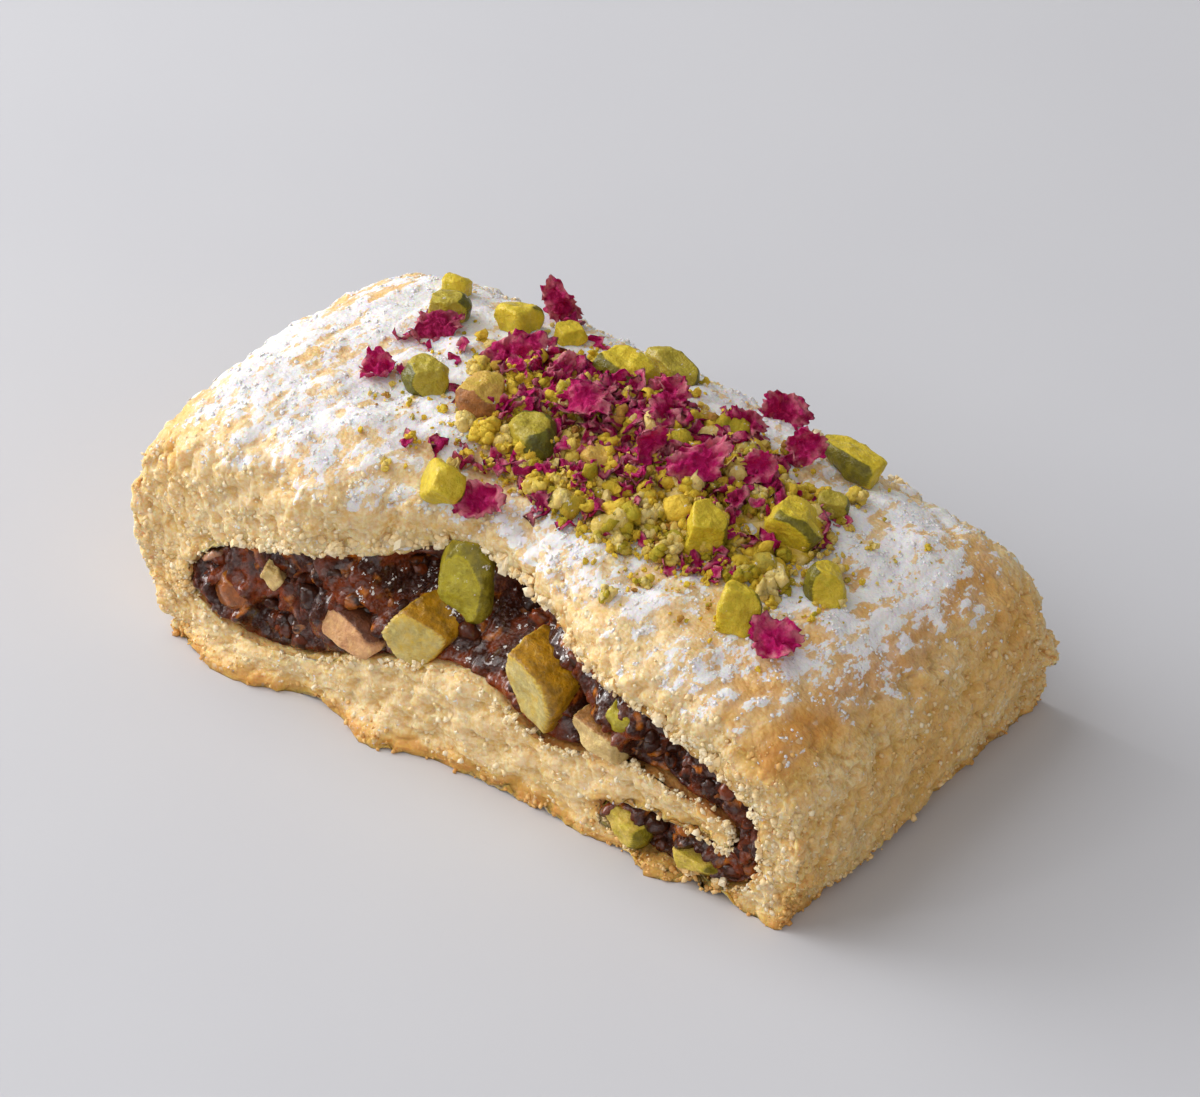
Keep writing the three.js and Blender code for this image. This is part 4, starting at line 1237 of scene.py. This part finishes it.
def petals(name, rng, places, sizes, normals, rings, turns, ragged, crinkle, along=None):
    """One object of many petals, each a closed thin sheet laid along its own normal, and lengthwise
    along the direction given for it or any other. Its top and underside share their outer edge, and
    both are crumpled by three sizes of noise."""
    count = len(places)
    sheet = petal_sheets(rng, count, rings, turns, ragged, crinkle) * [PETAL_LONG, 1 / PETAL_LONG, 1]
    away = rng.uniform(-1, 1, (count, 3))
    first = np.cross(normals, away if along is None else np.cross(along, normals))
    first = first / np.linalg.norm(first, axis=1)[:, None]
    frames = np.stack([first, np.cross(normals, first), normals], -1)
    half = np.asarray(sizes)[:, None, None, None] / 2
    inside = np.ones((rings + 1, 1, 1))
    inside[-1] = 0
    flat, crumple = sheet * half, 0.0
    for scale, deep, seed in ((1.9, 0.42, 301), (0.9, 0.5, 311), (0.42, 0.3, 321)):
        where = flat + 10 * np.arange(count)[:, None, None, None]
        folds = np.stack([soft_noise(where, scale, seed + k) for k in range(3)], -1)
        crumple = crumple + deep * folds * [0.4, 0.4, 1.3]
    upper = flat + crumple + inside * [0, 0, PETAL_THICK / 2]
    lower = flat + crumple - inside * [0, 0, PETAL_THICK / 2]
    middle_up, middle_low = upper[:, 0, :1], lower[:, 0, :1]
    upper, lower = upper[:, 1:].reshape(count, -1, 3), lower[:, 1:-1].reshape(count, -1, 3)
    points = np.concatenate([middle_up, upper, middle_low, lower], 1)
    points = np.einsum("nij,nvj->nvi", frames, points) + np.asarray(places)[:, None, :]
    corners = points.shape[1]
    i = np.arange(turns)
    j = (i + 1) % turns
    under = 1 + rings * turns
    fans = [np.stack([0 * i, 1 + i, 1 + j], -1), np.stack([0 * i, 1 + j, 1 + i], -1) + under]
    over = 1 + ring_faces(rings, turns)
    below = under + over[:, ::-1]
    quads = [over, np.where(below > under + (rings - 1) * turns, below - under, below)]
    offsets = np.arange(count)[:, None, None] * corners
    faces = [(np.vstack(group)[None] + offsets).reshape(-1, group[0].shape[1]) for group in (fans, quads)]
    obj = mesh_object(name, into_box(points.reshape(-1, 3)), faces)
    out = [0, *np.repeat(np.arange(1, rings + 1), turns), 0, *np.repeat(np.arange(1, rings), turns)]
    put_attribute(obj, "edge", np.tile(np.array(out) / rings, count))
    put_attribute(obj, "shade", np.repeat(rng.uniform(0, 1, count), corners))
    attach(obj, "root")
    return obj


def petal_material():
    """Dried petal: magenta to dark red, brighter in its veins, paler and pinker at its torn edge."""
    material, tree, shader = new_material(
        "rose_petal", {"Roughness": 0.5, "Specular IOR Level": 0.12}, (0.2, 0.0003, (1.0, 0.2, 0.35)))
    place, shade, edge = own_place(tree), stored(tree, "shade"), stored(tree, "edge")
    colour = blend(shade, (0.50, 0.005, 0.125), (0.25, 0.005, 0.052))
    vein = spread(cloud(place, 0.6, 4.0, 0.65), 0.5, 0.66)
    colour = blend(vein, colour, (0.62, 0.035, 0.19))
    pale = times(spread(edge, 0.4, 1.0), spread(cloud(place, 1.3), 0.44, 0.58))
    put_values(shader, {
        "Base Color": blend(times(pale, 0.7), colour, (0.80, 0.34, 0.34)),
        "Normal": relief(cloud(place, 0.6, 4.0, 0.65), 0.45),
    })
    return material


rose = petal_material()

# Place on the top, height over it, size and, in radians, how far the petal is tipped up from lying
# flat. Then in degrees the side that it is tipped to, the way its length runs and how steeply it rises.
LARGE_PETALS = [
    (-22.9, -4.4, 0.4, 3.4, 0.2, -60, 60, 0),
    (-22.9, 4.6, 0.7, 4.8, 0.25, -60, 66, 0),
    (-13.9, 5.2, 1.3, 5.2, 0.5, -80, 55, 0),
    (-16.9, 16.6, 2.0, 4.2, 1.45, -40, 218, 60),
    (-2.2, 1.4, 3.3, 5.2, 0.5, -90, 20, 0),
    (-7.4, 4.3, 2.3, 3.6, 0.7, -40, 100, 0),
    (2.1, 8.9, 2.6, 4.2, 0.6, -70, 40, 0),
    (9.5, 11.3, 1.5, 3.6, 0.7, -50, 0, 0),
    (-3.8, -12.7, 1.4, 4.6, 0.9, -80, 10, 0),
    (11.6, 1.2, 3.5, 5.2, 0.6, -60, 80, 0),
    (6.4, 0.1, 3.3, 3.8, 1.2, -30, 60, 40),
    (9.5, 17.8, 1.3, 4.6, 1.1, -60, -10, 0),
    (29.1, -10.9, 1.0, 4.6, 0.5, -60, 30, 0),
    (15.7, 12.6, 1.6, 3.8, 0.9, -60, 50, 20),
    (4.6, 5.4, 2.8, 3.8, 0.7, -50, 30, 0),
    (15.4, 5.6, 2.6, 3.4, 0.8, -70, 90, 0),
]


def tipped(tip, lean):
    """Upright directions tipped over by tip towards the side lean, both in radians."""
    return np.stack([np.sin(tip) * np.cos(lean), np.sin(tip) * np.sin(lean), np.cos(tip)], -1)


rng = np.random.default_rng(21)
x, y, over, size, tip, lean, along, climb = np.array(LARGE_PETALS).T
lean, along, climb = np.radians(lean), np.radians(along), np.radians(climb)
normals = tipped(tip, lean)
places = over_top(x, y, over)
along = np.stack([np.cos(along) * np.cos(climb), np.sin(along) * np.cos(climb), np.sin(climb)], -1)
large_petals = petals("rose_petals", rng, places, size, normals, rings=16, turns=72, ragged=0.15,
                      crinkle=0.12, along=along)
large_petals.data.materials.append(rose)

# Two in five of the torn bits lie round the large petals' own middle.
BITS_AT, BITS_REACH = (2.0, 4.5), (10.5, 5.5)
x, y = strewn(rng, 480, 0.5)
closer = rng.random(len(x)) < 0.4
x = np.where(closer, BITS_AT[0] + BITS_REACH[0] * rng.normal(0, 0.6, len(x)), x)
y = np.where(closer, BITS_AT[1] + BITS_REACH[1] * rng.normal(0, 0.6, len(y)), y)
tip = rng.uniform(0, 1.2, len(x))
lean = rng.uniform(0, 2 * math.pi, len(x))
normals = tipped(tip, lean)
size = 0.8 + 2.2 * rng.random(len(x)) ** 1.5
over = heap_rise(x, y) + 0.25 + 0.8 * rng.random(len(x)) * (heap_rise(x, y) > 0.2)
places = over_top(x, y, over)
petal_bits = petals("rose_bits", rng, places, size, normals, rings=4, turns=13, ragged=0.16, crinkle=0.2)
petal_bits.data.materials.append(rose)


# ---- Powdered sugar ----
# Fine sugar dusted over the finished bar. It lies in fluffy clumps on the skin and in smaller ones on
# the paste, and as a thin bloom on the nuts and the crumbs.

def sugar_material():
    """Clumped powdered sugar: matt white, very slightly uneven."""
    material, tree, shader = new_material("powdered_sugar", {"Roughness": 0.9, "Specular IOR Level": 0.3})
    place = own_place(tree)
    tone = spread(cloud(place, 0.5), 0.3, 0.7)
    put_values(shader, {
        "Base Color": blend(tone, (0.84, 0.82, 0.815), (0.90, 0.88, 0.875)),
        "Normal": relief(cloud(place, 0.15), 0.1),
    })
    return material


white_sugar = sugar_material()


def sugar_clumps(name, rng, points, normals, weight, clusters, each, low, high, gap, flat=False):
    """Clusters of small squat lumps, each round a point drawn by its weight, lying along the surface and
    set a little into it."""
    middle = np.repeat(pick(rng, weight, clusters), each)
    drift = rng.normal(0, gap, (len(middle), 3))
    drift -= normals[middle] * np.sum(drift * normals[middle], -1, keepdims=True)
    size = low + (high - low) * rng.random(len(middle)) ** 2
    seat = rng.uniform(-0.27, 0.05, (len(middle), 1))
    places = points[middle] + drift + normals[middle] * size[:, None] * seat
    obj = joined_lumps(name, rng, places, size, uneven=0.4, flat=flat, squat=normals[middle])
    obj.data.materials.append(white_sugar)
    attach(obj, "root")


rng = np.random.default_rng(33)
dusted = smooth((sugar - 0.34) / 0.3) + 0.3 * smooth(sugar / 0.3) + ANYWHERE
sugar_clumps("sugar_on_dough", rng, dough_points, dough_normals, dusted,
             clusters=1700, each=4, low=0.14, high=0.5, gap=0.2)

paste_points, paste_normals = mesh_arrays(paste)
x, y, z = paste_points.T
dusted = smooth((paste_normals[:, 2] - 0.15) / 0.5) * (y < 0) * (y > -22)
dusted = dusted * smooth((z - 11) / 4) * smooth(lip_back(x) / 5) + ANYWHERE
sugar_clumps("sugar_on_paste", rng, paste_points, paste_normals, dusted,
             clusters=300, each=5, low=0.12, high=0.4, gap=0.14, flat=True)


# ---- Floor, light and camera ----
# A pale floor under two soft lamps from the left, a weaker one from the right and a small one for the
# gloss, and a long lens looking down at the open cut side and the folded end.

def floor_material():
    """Matt pale grey board, very slightly mottled."""
    material, tree, shader = new_material("floor", {"Roughness": 0.7, "Specular IOR Level": 0.2})
    tone = spread(cloud(own_place(tree), 40.0), 0.3, 0.7)
    put_values(shader, {"Base Color": blend(tone, (0.60, 0.607, 0.647), (0.612, 0.619, 0.657))})
    return material


def area_light(name, place, size, power, colour):
    """A square lamp at place in metres, aimed at the bar."""
    lamp = bpy.data.lights.new(name, "AREA")
    lamp.size, lamp.energy, lamp.color = size, power, colour
    obj = bpy.data.objects.new(name, lamp)
    obj.location = place
    obj.rotation_euler = (-obj.location).to_track_quat("-Z", "Y").to_euler()
    bpy.context.scene.collection.objects.link(obj)


bpy.ops.mesh.primitive_plane_add(size=6)
floor = bpy.context.object
floor.name = "floor"
floor.data.materials.append(floor_material())

area_light("key", (-0.51, -0.15, 0.60), size=0.85, power=4.4, colour=(1.0, 0.99, 0.98))
area_light("left", (-0.72, -0.16, 0.25), size=0.5, power=4.4, colour=(1.0, 0.99, 0.98))
area_light("right", (0.42, -0.72, 0.52), size=1.0, power=2.5, colour=(1.0, 0.985, 0.97))
area_light("spark", (-0.42, -0.66, 0.44), size=0.09, power=0.45, colour=(1.0, 0.99, 0.98))
world = bpy.data.worlds.new("room")
bpy.context.scene.world = world
world.use_nodes = True
world.node_tree.nodes["Background"].inputs["Color"].default_value = (1.0, 0.975, 0.95, 1)
world.node_tree.nodes["Background"].inputs["Strength"].default_value = 0.29

# The camera's bearing and height in degrees, and its distance in millimetres from what it aims at.
AZIMUTH, ELEVATION, DISTANCE = 37.53, 36.39, 505.1
TARGET = np.array([-10.85, 15.08, 0.0])
turn, rise = math.radians(AZIMUTH), math.radians(ELEVATION)
away = np.array([math.sin(turn) * math.cos(rise), -math.cos(turn) * math.cos(rise), math.sin(rise)])
lens = bpy.data.cameras.new("camera")
lens.lens, lens.sensor_width = 150, 36
lens.clip_start, lens.clip_end = 0.01, 20
camera = bpy.data.objects.new("camera", lens)
camera.location = (TARGET + SHIFT + DISTANCE * away) / 1000
camera.rotation_euler = (math.pi / 2 - rise, 0, turn)
bpy.context.scene.collection.objects.link(camera)
bpy.context.scene.camera = camera
bpy.context.scene.view_settings.view_transform = "Standard"
